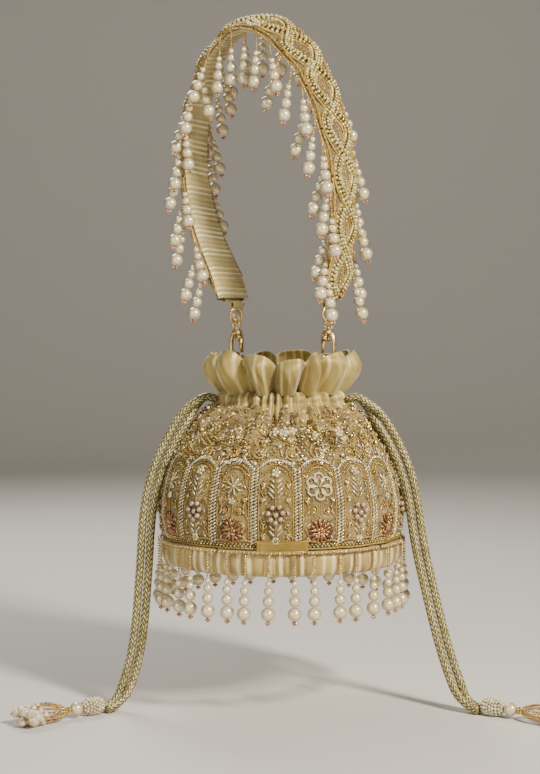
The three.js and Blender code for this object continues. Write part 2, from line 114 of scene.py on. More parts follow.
def make_stage():
    """The floor, a soft warm world and three lights."""
    make_floor()
    world = bpy.data.worlds.new("studio")
    world.use_nodes = True
    background = world.node_tree.nodes["Background"]
    background.inputs["Color"].default_value = WORLD_COLOUR
    background.inputs["Strength"].default_value = WORLD_STRENGTH
    bpy.context.scene.world = world
    for name, place, width, power, colour in LIGHTS:
        data = bpy.data.lights.new(name, "AREA")
        data.shape = "DISK"
        data.size = width
        data.energy = power
        data.color = colour
        stand(add_object(name, data), place, LIT_POINT)


# ---- mesh building --------------------------------------------------------------------------------
def unit(v):
    return v / np.maximum(np.linalg.norm(v, axis=-1, keepdims=True), 1e-12)


def smoothstep(x, low, high):
    t = np.clip((np.asarray(x, float) - low) / (high - low), 0, 1)
    return t * t * (3 - 2 * t)


def full_turn(count):
    """Angles once round the axis, the last short of the first."""
    return np.linspace(0, 2 * np.pi, count, endpoint=False)


def around_axis(r, theta, z):
    """Points at radii, angles and heights."""
    return np.stack(np.broadcast_arrays(r * np.cos(theta), r * np.sin(theta), z), -1)


def texture_round(radius, count):
    """Texture places in mm once round the axis, for a wrapped grid of count columns."""
    return np.linspace(0, 2 * np.pi * radius, count + 1)[None]


def grid_faces(rows, columns, wrap=False):
    """Triangles of a rows x columns grid of points, and the grid places of their corners."""
    j, i = np.meshgrid(np.arange(rows - 1), np.arange(columns if wrap else columns - 1), indexing="ij")
    j, i = j.ravel(), i.ravel()
    quad = ((0, 0), (0, 1), (1, 1), (1, 0))
    corners = np.stack([np.stack([j + down, i + right], 1) for down, right in quad], 1)
    places = np.concatenate([corners[:, [0, 1, 2]], corners[:, [0, 2, 3]]])
    return places[..., 0] * columns + places[..., 1] % columns, places


def lathe_shape(profile, sides):
    """A closed solid about Z from (radius, z) pairs, from its top down, both ends on the axis."""
    turn = 2 * np.pi * np.arange(sides) / sides
    inner = np.array(profile[1:-1], float)
    rings = around_axis(inner[:, :1], turn, inner[:, 1:]).reshape(-1, 3)
    verts = np.vstack([[0, 0, profile[0][1]], rings, [0, 0, profile[-1][1]]])
    side_faces, _ = grid_faces(len(inner), sides, wrap=True)
    i = np.arange(sides)
    k = (i + 1) % sides
    last = 1 + (len(inner) - 1) * sides
    top = np.stack([np.zeros(sides, int), 1 + i, 1 + k], 1)
    bottom = np.stack([last + k, last + i, np.full(sides, len(verts) - 1)], 1)
    return verts, np.vstack([top, side_faces[:, ::-1] + 1, bottom])


def bead_shape(sides, rings, hole=0.0):
    """A bead of unit diameter about Z. A hole gives a flattened dimple at either end."""
    a = np.pi * np.arange(rings + 1) / rings
    profile = [(0.5 * math.sin(t), 0.5 * math.cos(t)) for t in a]
    profile[0], profile[-1] = (0, 0.5 - hole), (0, -0.5 + hole)
    return lathe_shape(profile, sides)


LOBE_DEPTH = 0.2         # how deep a twisted cord's lobes are, as a share of its radius
FINE_BEAD = bead_shape(14, 8)
BEAD = bead_shape(8, 5, 0.06)
SMALL_BEAD = bead_shape(6, 3, 0.04)
BUGLE = lathe_shape([(0, 0.5), (0.5, 0.43), (0.5, -0.43), (0, -0.5)], 6)
SEQUIN = lathe_shape([(0, 0.02), (0.34, 0.1), (0.5, 0.2), (0.3, -0.02), (0, -0.06)], 8)
DROP = lathe_shape([(0, 0.5), (0.16, 0.46), (0.3, 0.3), (0.43, 0.08), (0.5, -0.14), (0.46, -0.3),
                    (0.3, -0.44), (0, -0.5)], 12)


def turns_to(axis):
    """Rotations whose third column is the given axis, one for each row."""
    z = unit(np.atleast_2d(np.asarray(axis, float)))
    guide = np.broadcast_to(UP, z.shape).copy()
    guide[np.abs((guide * z).sum(1)) > 0.95] = (1, 0.2, 0)
    x = unit(np.cross(guide, z))
    return np.stack([x, np.cross(z, x), z], -1)


def lying(frames, angle):
    """Turns for long shapes that lie on a surface, at angles from the frames' second column."""
    right, up, out = (frames[..., k] for k in range(3))
    long = right * np.sin(angle)[:, None] + up * np.cos(angle)[:, None]
    return np.stack([np.cross(long, out), out, long], -1)


def rows_to_frame(points):
    return np.asarray(points, float) * MM - UP * CROWN * MM


def tube_rows(line, radius, turn, capped=False):
    """Rings of points about a line, at the given radii and angles; one more at each end if capped."""
    _, side, up = frames_along(line)
    if capped:
        line, side, up = (np.vstack([a[:1], a, a[-1:]]) for a in (line, side, up))
    return line[:, None] + radius[..., None] * (np.cos(turn)[None, :, None] * side[:, None]
                                                + np.sin(turn)[None, :, None] * up[:, None])


class Piece:
    """Shapes gathered into one mesh object. Points are in millimetres above the base."""

    def __init__(self, name, body, *nodes, slot=None):
        self.name, self.body, self.nodes, self.slot = name, body, nodes, slot
        self.verts, self.faces, self.uvs, self.kinds, self.order = [], [], [], [], []
        self.count = 0

    def add(self, verts, faces, kind, uv=None):
        if kind not in self.order:
            self.order.append(kind)
        self.verts.append(verts)
        self.faces.append(faces + self.count)
        self.uvs.append(np.zeros((len(faces), 3, 2)) if uv is None else uv)
        self.kinds.append(np.full(len(faces), self.order.index(kind)))
        self.count += len(verts)

    def beads(self, shape, centres, size, kind, turns=None):
        """One shape at each centre. size is one number, three for all, or a row of three for each."""
        centres = np.atleast_2d(np.asarray(centres, float))
        n = len(centres)
        verts, faces = shape
        points = verts[None] * np.broadcast_to(np.asarray(size, float), (n, 3))[:, None]
        if turns is not None:
            points = np.einsum("nij,nkj->nki", np.broadcast_to(turns, (n, 3, 3)), points)
        points = points + centres[:, None]
        all_faces = faces[None] + (np.arange(n) * len(verts))[:, None, None]
        self.add(points.reshape(-1, 3), all_faces.reshape(-1, 3), kind)

    def grid(self, rows, kind, u=None, v=None, wrap=False, flip=False):
        """A surface through a rows x columns array of points. u and v are texture places in mm."""
        rows = np.asarray(rows, float)
        nv, nu = rows.shape[:2]
        faces, places = grid_faces(nv, nu, wrap)
        width = nu + (1 if wrap else 0)
        u = np.broadcast_to(np.arange(width) if u is None else u, (nv, width))
        v = np.broadcast_to(np.arange(nv)[:, None] if v is None else v, (nv, width))
        uv = np.stack([u[places[..., 0], places[..., 1]], v[places[..., 0], places[..., 1]]], -1)
        if flip:
            faces, uv = faces[:, ::-1], uv[:, ::-1]
        self.add(rows.reshape(-1, 3), faces, kind, uv)

    def tube(self, line, radius, kind, around=8, lobes=0, lay=6.0):
        """A round cord along a line of points, with twisted lobes if asked, closed at both ends."""
        line = np.asarray(line, float)
        run = run_along(line)
        turn = 2 * np.pi * np.arange(around) / around
        r = np.broadcast_to(np.asarray(radius, float).reshape(-1, 1), (len(line), around)).copy()
        if lobes:
            r *= 1 + LOBE_DEPTH * np.cos(lobes * turn[None] - 2 * np.pi * run[:, None] / lay)
        rows = tube_rows(line, np.vstack([r[:1] * 0.02, r, r[-1:] * 0.02]), turn, capped=True)
        run = np.concatenate([run[:1], run, run[-1:]])
        wide = 2 * np.pi * float(np.mean(radius))
        self.grid(rows, kind, np.linspace(0, wide, around + 1)[None], run[:, None], wrap=True, flip=True)

    def make(self):
        verts = rows_to_frame(np.concatenate(self.verts))
        faces = np.concatenate(self.faces)
        data = bpy.data.meshes.new(self.name)
        data.vertices.add(len(verts))
        data.vertices.foreach_set("co", verts.ravel())
        data.loops.add(faces.size)
        data.loops.foreach_set("vertex_index", faces.ravel().astype(np.int32))
        data.polygons.add(len(faces))
        data.polygons.foreach_set("loop_start", np.arange(0, faces.size, 3, dtype=np.int32))
        data.polygons.foreach_set("material_index", np.concatenate(self.kinds).astype(np.int32))
        data.polygons.foreach_set("use_smooth", np.ones(len(faces), bool))
        data.uv_layers.new(name="UVMap").data.foreach_set("uv", np.concatenate(self.uvs).ravel())
        for kind in self.order:
            data.materials.append(MATERIAL[kind])
        data.update(calc_edges=True)
        data.validate()
        piece = add_object(self.name, data)
        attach(piece, self.body)
        if self.nodes:
            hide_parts(*self.nodes)
        return piece


# ---- lines ------------------------------------------------------------------------------------------
def run_along(line):
    return np.concatenate([[0], np.cumsum(np.linalg.norm(np.diff(line, axis=0), axis=1))])


def curve_points(points, count):
    """count points spaced evenly along a centripetal Catmull-Rom curve through the given points."""
    p = np.asarray(points, float)
    ends = np.vstack([2 * p[0] - p[1], p, 2 * p[-1] - p[-2]])
    fine = []
    for i in range(1, len(ends) - 2):
        p0, p1, p2, p3 = ends[i - 1:i + 3]
        t1 = np.linalg.norm(p1 - p0) ** 0.5
        t2 = t1 + np.linalg.norm(p2 - p1) ** 0.5
        t3 = t2 + np.linalg.norm(p3 - p2) ** 0.5
        for t in np.linspace(t1, t2, 24, endpoint=False):
            a1 = p0 + (p1 - p0) * (t / t1)
            a2 = p1 + (p2 - p1) * ((t - t1) / (t2 - t1))
            a3 = p2 + (p3 - p2) * ((t - t2) / (t3 - t2))
            b1 = a1 + (a2 - a1) * (t / t2)
            b2 = a2 + (a3 - a2) * ((t - t1) / (t3 - t1))
            fine.append(b1 + (b2 - b1) * ((t - t1) / (t2 - t1)))
    fine.append(p[-1])
    return resample(np.array(fine), count)


def resample(line, count):
    """count points spaced evenly along a line of points."""
    along = run_along(line)
    at = np.linspace(0, along[-1], count)
    return np.stack([np.interp(at, along, line[:, k]) for k in range(line.shape[1])], axis=1)


def frames_along(line):
    """Tangents and two cross directions that don't twist, along a line of points."""
    tangent = unit(np.gradient(line, axis=0))
    side = np.zeros_like(line)
    first = np.cross(tangent[0], UP)
    if np.linalg.norm(first) < 0.1:
        first = np.cross(tangent[0], [1.0, 0, 0])
    side[0] = unit(first)
    for i in range(1, len(line)):
        side[i] = unit(side[i - 1] - tangent[i] * np.dot(side[i - 1], tangent[i]))
    return tangent, side, np.cross(tangent, side)


# ---- materials -------------------------------------------------------------------------------------
BRAID_COLUMNS, BRAID_STITCH, BRAID_LEAN = 8, 3.1, 0.95   # the drawcords' knitted stitches
CORD_GIRTH = 15.0        # the texture's width round a drawcord


def rgb(r, g, b):
    return (r, g, b, 1.0)


class Nodes:
    """A short way to write a node tree."""

    def __init__(self, name):
        self.material = bpy.data.materials.new(name)
        self.material.use_nodes = True
        self.tree = self.material.node_tree
        self.shader = self.tree.nodes["Principled BSDF"]

    def new(self, kind, **inputs):
        """A node. A name that starts with _ is a setting; any other is an input, with __ for a space."""
        node = self.tree.nodes.new(kind)
        for key, value in inputs.items():
            if key.startswith("_"):
                setattr(node, key[1:], value)
            else:
                self.feed(node.inputs[key.replace("__", " ")], value)
        return node

    def feed(self, socket, value):
        if isinstance(value, bpy.types.NodeSocket):
            self.tree.links.new(value, socket)
        else:
            socket.default_value = value

    def set(self, **values):
        for key, value in values.items():
            self.feed(self.shader.inputs[key.replace("__", " ")], value)

    def math(self, op, *values):
        node = self.new("ShaderNodeMath", _operation=op)
        for socket, value in zip(node.inputs, values):
            self.feed(socket, value)
        return node.outputs[0]

    def times(self, a, b):
        return self.math("MULTIPLY", a, b)

    def plus(self, a, b):
        return self.math("ADD", a, b)

    def scaled(self, a, factor, offset):
        return self.math("MULTIPLY_ADD", a, factor, offset)

    def mix(self, factor, a, b):
        node = self.new("ShaderNodeMix", _data_type="RGBA")
        for place, value in ((0, factor), (6, a), (7, b)):
            self.feed(node.inputs[place], value)
        return node.outputs[2]

    def place(self, output="Object"):
        return self.new("ShaderNodeTexCoord").outputs[output]

    def noise(self, scale, detail=2.0, rough=0.5):
        return self.new("ShaderNodeTexNoise", Scale=scale, Detail=detail, Roughness=rough,
                        Vector=self.place()).outputs["Fac"]

    def cells(self, scale):
        return self.new("ShaderNodeTexVoronoi", Scale=scale, Vector=self.place()).outputs["Distance"]

    def step(self, value, low, high):
        node = self.new("ShaderNodeMapRange", _interpolation_type="SMOOTHSTEP")
        for i, number in enumerate((value, low, high, 0.0, 1.0)):
            self.feed(node.inputs[i], number)
        return node.outputs[0]

    def wave(self, place, pitch):
        """A sine from 0 to 1 with the given pitch in millimetres."""
        return self.scaled(self.math("SINE", self.times(place, 2 * math.pi / pitch)), 0.5, 0.5)

    def patchy(self, scale, detail, low, high, a, b):
        """One colour that turns to another from patch to patch."""
        return self.mix(self.step(self.noise(scale, detail), low, high), a, b)

    def bump(self, height, strength, distance):
        node = self.new("ShaderNodeBump", Strength=strength, Distance=distance, Height=height)
        self.feed(self.shader.inputs["Normal"], node.outputs[0])

    def uv(self):
        """Places on the surface, in millimetres across and along."""
        split = self.new("ShaderNodeSeparateXYZ", Vector=self.place("UV"))
        return split.outputs[0], split.outputs[1]


def pearl_material(n, base, rim, roughness):
    # rim is painted shade: each pearl darkens towards its silhouette, mixed by how far its surface turns from
    # the eye
    painted_rim_shade = n.new("ShaderNodeLayerWeight", Blend=0.35).outputs["Facing"]
    warm = tuple(c * k for c, k in zip(base, (0.97, 0.93, 0.84, 1)))
    body = n.patchy(45, 1, 0.35, 0.65, base, warm)
    n.set(Base__Color=n.mix(painted_rim_shade, body, rim), Roughness=roughness, Specular__IOR__Level=0.9, Metallic=0.25)
    n.set(Coat__Weight=1.0, Coat__Roughness=0.12, Coat__IOR=1.65)
    n.bump(n.noise(900, 1), 0.03, 0.0002)


def metal_material(n, base, dark, roughness, scale=300, bump=0.08):
    patch = n.noise(scale, 3)
    n.set(Base__Color=n.mix(patch, base, dark), Metallic=1.0)
    n.set(Roughness=n.scaled(patch, 0.22, roughness - 0.1))
    n.bump(n.noise(scale * 6, 2), bump, 0.0001)


def glass_material(n, base, dark, roughness=0.18, metallic=0.0):
    """Glass and lined seed beads, each a little different from the next."""
    n.set(Base__Color=n.patchy(420, 1, 0.38, 0.62, base, dark), Metallic=metallic)
    n.set(Roughness=roughness, Coat__Weight=0.5, Coat__Roughness=0.08, Specular__IOR__Level=0.6)
    n.bump(n.noise(1500, 1), 0.05, 0.0001)


def thread_material(n, base, dark, metallic=0.35, roughness=0.42, pitch=0.55):
    """Metal-wrapped thread: fine turns across the run of the cord, and soft changes of tone."""
    u, v = n.uv()
    turns = n.wave(n.plus(v, n.times(u, 0.4)), pitch)
    tone = n.mix(n.noise(380, 3), dark, base)
    n.set(Base__Color=n.mix(n.times(turns, 0.4), tone, dark), Metallic=metallic, Roughness=roughness)
    n.bump(turns, 0.5, 0.00025)


def zari_ground_material(n, light, dark, stitch):
    """Metallic embroidery ground: short laid stitches whose direction turns from patch to patch."""
    u, v = n.uv()
    bend = n.times(n.noise(90, 1), 7.0)
    laid = n.wave(n.plus(n.times(u, n.math("COSINE", bend)), n.times(v, n.math("SINE", bend))), stitch)
    knots = n.step(n.cells(620), 0.15, 0.55)
    patch = n.noise(60, 4, 0.65)
    tone = n.mix(n.step(patch, 0.3, 0.7), dark, light)
    tone = n.mix(n.times(laid, 0.45), tone, rgb(*(c * 0.55 for c in dark[:3])))
    tone = n.mix(n.times(n.step(n.noise(700, 2), 0.56, 0.7), 0.5), tone, rgb(0.95, 0.84, 0.58))
    n.set(Base__Color=tone, Metallic=0.3, Sheen__Weight=0.15, Roughness=n.scaled(patch, 0.25, 0.32))
    n.bump(n.plus(n.times(laid, 0.6), n.times(knots, 0.8)), 0.7, 0.0005)


def striped_silk_material(n, base, stripe, dark, pitch):
    """Tissue silk with narrow soft stripes that run along v, on a fine plain weave."""
    u, v = n.uv()
    place = n.plus(u, n.times(n.noise(25, 1), 1.2))
    some = n.step(n.wave(place, pitch * 2.7), 0.0, 0.45)
    bright = n.times(n.step(n.wave(place, pitch), 0.5, 0.95), some)
    fine = n.step(n.wave(place, pitch * 0.24), 0.6, 0.95)
    weave = n.times(n.wave(v, 0.42), n.wave(u, 0.36))
    tone = n.patchy(55, 3, 0.3, 0.75, base, dark)
    tone = n.mix(n.times(fine, 0.35), tone, dark)
    tone = n.mix(n.times(bright, 0.9), tone, stripe)
    tone = n.mix(n.times(weave, 0.3), tone, dark)
    n.set(Base__Color=tone, Metallic=0.25, Sheen__Weight=0.25, Anisotropic=0.4)
    n.set(Roughness=n.scaled(bright, -0.12, 0.44))
    n.bump(n.plus(n.times(weave, 0.5), n.times(bright, 0.6)), 0.4, 0.0003)


def strap_silk_material(n, base, stripe, dark, pitch):
    """Ribbon silk: bright bars across the strap, stronger and fainter in turn, on a fine ribbed weave."""
    u, v = n.uv()
    rib = n.wave(u, 0.7)
    place = n.scaled(n.noise(22, 1), 2.0, u)
    strong = n.scaled(n.step(n.wave(place, 4.3 * pitch), 0.15, 0.7), 0.75, 0.15)
    bars = n.times(n.step(n.wave(place, pitch), 0.5, 0.85), strong)
    tone = n.patchy(60, 3, 0.3, 0.7, base, dark)
    tone = n.mix(n.times(rib, 0.25), tone, dark)
    n.set(Base__Color=n.mix(bars, tone, stripe), Metallic=0.12, Sheen__Weight=0.3)
    n.set(Roughness=n.scaled(bars, -0.12, 0.48))
    n.bump(n.scaled(n.wave(v, 0.5), 0.3, rib), 0.4, 0.0003)


def plain_weave_material(n, base, dark, pitch=0.5, roughness=0.75):
    u, v = n.uv()
    weave = n.times(n.wave(u, pitch), n.wave(v, pitch))
    tone = n.patchy(70, 4, 0.3, 0.7, base, dark)
    n.set(Base__Color=n.mix(n.times(weave, 0.4), tone, dark), Roughness=roughness, Sheen__Weight=0.2)
    n.bump(weave, 0.4, 0.0003)


def braid_material(n, dark, light, gap):
    """Knitted cord: bright stitches leaning to either side of each column, with painted shade between them
    and towards the edges of each column.
    """
    u, v = n.uv()
    column = n.math("DIVIDE", u, CORD_GIRTH / BRAID_COLUMNS)
    inside = n.math("SUBTRACT", n.math("FRACT", column), 0.5)
    right = n.math("GREATER_THAN", n.math("FRACT", n.times(column, 0.5)), 0.5)
    lean = n.scaled(right, -2.0, 1.0)
    place = n.scaled(n.times(inside, lean), BRAID_LEAN, n.math("DIVIDE", v, BRAID_STITCH))
    place = n.math("FRACT", n.scaled(right, -0.5, n.plus(place, 0.5)))
    middle = n.math("ABSOLUTE", n.scaled(place, 2.0, -1.0))
    bright = n.math("SUBTRACT", 1.0, n.step(middle, 0.3, 0.78))
    # Painted shade: the stitches darken towards the edges of each column.
    painted_column_shade = n.math("SUBTRACT", 1.0, n.step(n.math("ABSOLUTE", n.times(inside, 2.0)), 0.6, 1.0))
    bright = n.times(bright, n.scaled(painted_column_shade, 0.7, 0.3))
    # gap is painted shade: the colour shown between the stitches.
    n.set(Base__Color=n.mix(bright, gap, n.patchy(420, 2, 0.3, 0.7, dark, light)), Metallic=0.35)
    n.set(Roughness=0.36, Sheen__Weight=0.1)
    n.bump(n.wave(n.scaled(u, 0.8, v), 0.3), 0.2, 0.0002)


# How each finish is made, its colours and its numbers.
FINISHES = {
    # For pearl and pearl_pink the second colour is painted shade at each pearl's rim.
    "pearl": (pearl_material, (0.82, 0.73, 0.47), (0.26, 0.175, 0.075), 0.28),
    "pearl_pink": (pearl_material, (0.52, 0.37, 0.25), (0.20, 0.115, 0.07), 0.25),
    "white_bead": (glass_material, (0.74, 0.67, 0.47), (0.50, 0.41, 0.24)),
    "gold_bead": (glass_material, (0.78, 0.55, 0.20), (0.44, 0.27, 0.06), 0.2, 0.7),
    "rose_bead": (glass_material, (0.66, 0.36, 0.20), (0.40, 0.18, 0.08), 0.16, 0.3),
    "cream_bead": (glass_material, (0.68, 0.62, 0.30), (0.34, 0.27, 0.08), 0.22, 0.15),
    "straw_bead": (glass_material, (0.68, 0.50, 0.14), (0.34, 0.23, 0.05), 0.22, 0.6),
    "silver_bead": (glass_material, (0.88, 0.80, 0.56), (0.50, 0.41, 0.21), 0.18, 0.45),
    "amber_bead": (glass_material, (0.50, 0.28, 0.06), (0.28, 0.13, 0.03), 0.14, 0.5),
    "copper": (metal_material, (0.48, 0.25, 0.14), (0.26, 0.12, 0.06), 0.32, 500),
    "gold": (metal_material, (0.94, 0.71, 0.36), (0.80, 0.54, 0.22), 0.27),
    "plate": (metal_material, (0.60, 0.41, 0.12), (0.38, 0.24, 0.05), 0.3, 220, 0.15),
    "sequin": (metal_material, (0.80, 0.60, 0.24), (0.50, 0.34, 0.10), 0.22, 400),
    "zari_cord": (thread_material, (0.64, 0.45, 0.13), (0.23, 0.14, 0.035), 0.55, 0.34),
    "silver_cord": (thread_material, (0.66, 0.53, 0.24), (0.25, 0.165, 0.055), 0.55, 0.3, 0.8),
    "zari": (zari_ground_material, (0.64, 0.455, 0.145), (0.22, 0.145, 0.04), 0.6),
    "lace": (zari_ground_material, (0.46, 0.34, 0.085), (0.13, 0.09, 0.02), 0.5),
    "silk": (striped_silk_material, (0.48, 0.37, 0.10), (0.66, 0.56, 0.23), (0.25, 0.175, 0.04), 6.4),
    "band": (striped_silk_material, (0.60, 0.44, 0.15), (0.90, 0.78, 0.42), (0.26, 0.17, 0.045), 6.1),
    "lining": (plain_weave_material, (0.20, 0.14, 0.05), (0.10, 0.065, 0.02)),
    "ribbon": (plain_weave_material, (0.54, 0.43, 0.14), (0.30, 0.22, 0.06), 0.6, 0.5),
    "tape": (plain_weave_material, (0.46, 0.34, 0.13), (0.26, 0.18, 0.06), 0.6, 0.6),
    # cord: the thread's two tones, then the painted shade between the stitches.
    "cord": (braid_material, (0.36, 0.30, 0.09), (0.74, 0.66, 0.33), (0.06, 0.042, 0.012)),
    "strap_silk": (strap_silk_material, (0.62, 0.50, 0.20), (0.92, 0.83, 0.50), (0.42, 0.32, 0.11), 3.3),
}


def make_materials():
    made = {}
    for name, (build, *values) in FINISHES.items():
        nodes = Nodes(name)
        build(nodes, *(rgb(*value) if isinstance(value, tuple) else value for value in values))
        made[name] = nodes.material
    return made


MATERIAL = make_materials()

# ---- pouch ------------------------------------------------------------------------------------------
BODY_PROFILE = [(71.5, 16.4), (73.2, 26), (73.4, 38), (70.2, 54), (62.6, 70), (52.5, 84), (40.5, 94.4)]
BODY_LINE = curve_points(BODY_PROFILE, 200)
BODY_RUN = run_along(BODY_LINE)
BODY_TOP = BODY_RUN[-1]
PANELS = 18
PANEL_STEP = 2 * math.pi / PANELS
FRONT = math.radians(-93)        # the middle of the panel that faces forward
ARCH = 45.0                      # height of the panels' arches, measured up the pouch
SWAY_LAY = 2.4                   # the gold thread's twist repeats after this length
# Deep slanting creases under the gathers: angles in degrees at the top and foot of each, the
# distances up the pouch of those ends, and the depth in mm.
CREASES = [(-114, -148, 80, 52, 7.5), (-96, -104, 80, 60, 4.5), (-74, -60, 80, 56, 5.5),
           (-36, -24, 80, 56, 4.0), (-8, 4, 80, 54, 4.5), (35, 24, 80, 54, 5.0), (88, 99, 80, 56, 4.4),
           (128, 112, 80, 54, 5.0), (160, 166, 80, 54, 4.8)]


def pouch_point(theta, run, lift=0.0):
    """Points at angles round the pouch and distances up its side, lifted off the surface."""
    theta, run, lift = np.broadcast_arrays(np.asarray(theta, float), run, lift)
    r, z = (np.interp(run, BODY_RUN, BODY_LINE[:, k]) for k in (0, 1))
    ahead = unit(np.stack([np.interp(run + 1, BODY_RUN, BODY_LINE[:, k])
                           - np.interp(run - 1, BODY_RUN, BODY_LINE[:, k]) for k in (0, 1)], -1))
    rise = lift + pouch_relief(theta, run)
    return around_axis(r + rise * ahead[..., 1], theta, z - rise * ahead[..., 0])


def turned_by(theta, middle):
    """The angle from middle to theta, the shorter way round."""
    return np.angle(np.exp(1j * (theta - middle)))


def pouch_relief(theta, run):
    """How far the cloth swells in each panel, and puckers where it is gathered to the neck."""
    across = np.abs(np.sin(PANELS * (theta - FRONT) / 2 + math.pi / 2))
    quilt = 0.9 * (across ** 0.7 - 1) * (1 - smoothstep(run, 0.8 * ARCH, 1.5 * ARCH))
    drawn = smoothstep(run, 0.55 * BODY_TOP, BODY_TOP)
    folds = np.sin(26 * theta + 1.4 * np.sin(5 * theta))
    folds = folds + 0.55 * np.sin(61 * theta + 2.2 * np.sin(7 * theta + 1))
    sag = 0.5 * np.sin(4 * theta + 0.7) * np.sin(math.pi * run / BODY_TOP)
    relief = quilt + drawn * (1.2 + drawn) * folds + sag - 0.4
    for top, foot, high, low, depth in CREASES:
        share = np.clip((run - low) / (high - low), -0.3, 1.3)
        middle = np.radians(foot + (top - foot) * share)
        away = turned_by(theta, middle) * pouch_radius(run) / 2.6
        fold = 0.5 * np.exp(-((away + 2.2) / 1.5) ** 2) - np.exp(-away ** 2)
        relief = relief + depth * fold * smoothstep(share, -0.3, 0.3)
    return np.clip(relief, 0.35 * relief - 2.6, 0.4 * relief + 1.2)


def pouch_frames(theta, run):
    """Turns whose third column leaves the pouch and whose second runs up it."""
    here = pouch_point(theta, run)
    right = unit(pouch_point(np.asarray(theta) + 0.01, run) - here)
    up = unit(pouch_point(theta, np.asarray(run) + 0.5) - here)
    out = unit(np.cross(right, up))
    return np.stack([right, np.cross(out, right), out], -1)


def pouch_radius(run):
    return np.interp(run, BODY_RUN, BODY_LINE[:, 0])


class Needle:
    """Embroiders with places in millimetres right of and above a point on the pouch."""

    def __init__(self, piece, theta, run, mirror=1):
        self.piece, self.theta, self.run, self.mirror = piece, theta, run, mirror

    def place(self, across, up):
        across, up = np.broadcast_arrays(np.asarray(across, float), np.asarray(up, float))
        run = self.run + up
        return self.theta + self.mirror * across / pouch_radius(run), run

    def beads(self, shape, across, up, size, kind, lift=0.5, aim=None):
        """Beads at places. aim gives the direction, in degrees from up, in which a long bead lies."""
        theta, run = (np.atleast_1d(v) for v in self.place(across, up))
        turns = pouch_frames(theta, run)
        if aim is not None:
            aims = np.broadcast_to(np.asarray(aim, float), theta.shape)
            turns = lying(turns, np.radians(aims) * self.mirror)
        self.piece.beads(shape, pouch_point(theta, run, lift), size, kind, turns)

    def cord(self, across, up, radius, kind, lift=0.35, around=5, lobes=0, lay=SWAY_LAY, step=0.9):
        theta, run = self.place(across, up)
        line = pouch_point(theta, run, lift)
        line = resample(line, max(4, int(run_along(line)[-1] / step)))
        self.piece.tube(line, radius, kind, around=around, lobes=lobes, lay=lay)


def make_pouch():
    around, up = PANELS * 22, 68
    run = np.linspace(0, BODY_TOP, up)
    piece = Piece("pouch", "bag", "embroidered_body", slot="zari_silk")
    rows = pouch_point(full_turn(around)[None], run[:, None])
    piece.grid(rows, "zari", texture_round(70, around), run[:, None], wrap=True)
    piece.make()


def make_panels():
    """Ropes and arches that divide the pouch into panels, each with one of two sprigs."""
    ropes = Piece("panel_ropes", "bag", slot="zari_silk")
    sprigs = Piece("panel_sprigs", "bag", slot="gold_bead")
    for k in range(PANELS):
        middle = FRONT + k * PANEL_STEP
        draw_rope(Needle(ropes, middle + PANEL_STEP / 2, 0))
        draw_arch(Needle(ropes, middle, ARCH))
        draw_hem(Needle(ropes, middle, 0))
        sprig = Needle(sprigs, middle, 0, 1 if k % 4 < 2 else -1)
        if k % 2 == 0:
            draw_fern(sprig)
        else:
            draw_flower(sprig, outlined=k % 4 == 1 and k < PANELS - 1)
    ropes.make()
    sprigs.make()


def draw_rope(needle):
    """Two rows of slanting silver beads between two threads, up the side of a panel."""
    row = np.arange(3.4, ARCH + 1.5, 1.9)
    run = np.linspace(2.5, ARCH + 1, 60)
    for side in (-1, 1):
        needle.beads(BUGLE, 1.15 * side, row + 0.5 * side, (0.95, 0.95, 2.6), "silver_bead", 0.75, aim=48)
        needle.cord(2.9 * side, run, 0.42, "zari_cord", 0.3, lobes=2)


def draw_arch(needle):
    """Slanting silver beads over the top of a panel, with a line of gold thread inside them."""
    half = 0.5 * PANEL_STEP * pouch_radius(ARCH) - 1.6

    def arch(t, rise=5.2):
        return rise * (1 - np.abs(t) ** 2.2)

    t = np.linspace(-1, 1, 16)
    slope = np.degrees(np.arctan2(1, np.gradient(arch(t), half * t)))
    needle.beads(BUGLE, half * t, arch(t) + 1.0, (1.0, 1.0, 2.5), "silver_bead", 0.75, aim=slope - 38)
    t = np.linspace(-1, 1, 40)
    needle.cord((half - 1.8) * t, arch(t) - 1.6, 0.45, "zari_cord", 0.4, lobes=2)
    t = t[3:-3:3]
    needle.beads(SMALL_BEAD, (half - 3.2) * t, arch(t, 5.0) - 3.4, 1.3, "straw_bead", 0.5)


def draw_hem(needle):
    """Two scallops at the foot of each panel, over a line of beads."""
    half = 0.5 * PANEL_STEP * pouch_radius(3)
    t = np.linspace(-1, 1, 40)
    row = np.linspace(-half, half, 12)[:-1]
    needle.cord(half * t, 3.1 + 1.7 * np.abs(np.sin(math.pi * t)), 0.7, "zari_cord", 0.5, 6, 2, 2.6, 0.8)
    needle.beads(SMALL_BEAD, row, 1.4, 1.7, "straw_bead", 0.6)
    needle.cord(half * t, -0.4, 0.75, "zari_cord", 0.6, 6, 2, 2.6, 0.8)
    needle.beads(SMALL_BEAD, row + 1.1, 2.6, 1.2, "silver_bead", 0.5)


def draw_rosette(needle, across, up, size, kind, petals=6, core="straw_bead"):
    """A small flower of round beads about a centre bead."""
    a = 2 * np.pi * np.arange(petals) / petals
    r = 0.78 * size
    needle.beads(BEAD, across + r * np.cos(a), up + r * np.sin(a), size, kind, 0.9)
    needle.beads(BEAD, across, up, 0.8 * size, core, 1.2)


def draw_rays(needle, up, reach, count, kind, thick=1.0, start=0.0, inner=0.35):
    """Long beads that stand out from a point like a star."""
    a = start + 360 * np.arange(count) / count
    middle = reach * (0.5 + inner / 2)
    needle.beads(BUGLE, middle * np.sin(np.radians(a)), up + middle * np.cos(np.radians(a)),
                 (thick, thick, reach * (1 - inner)), kind, 0.7, aim=a)


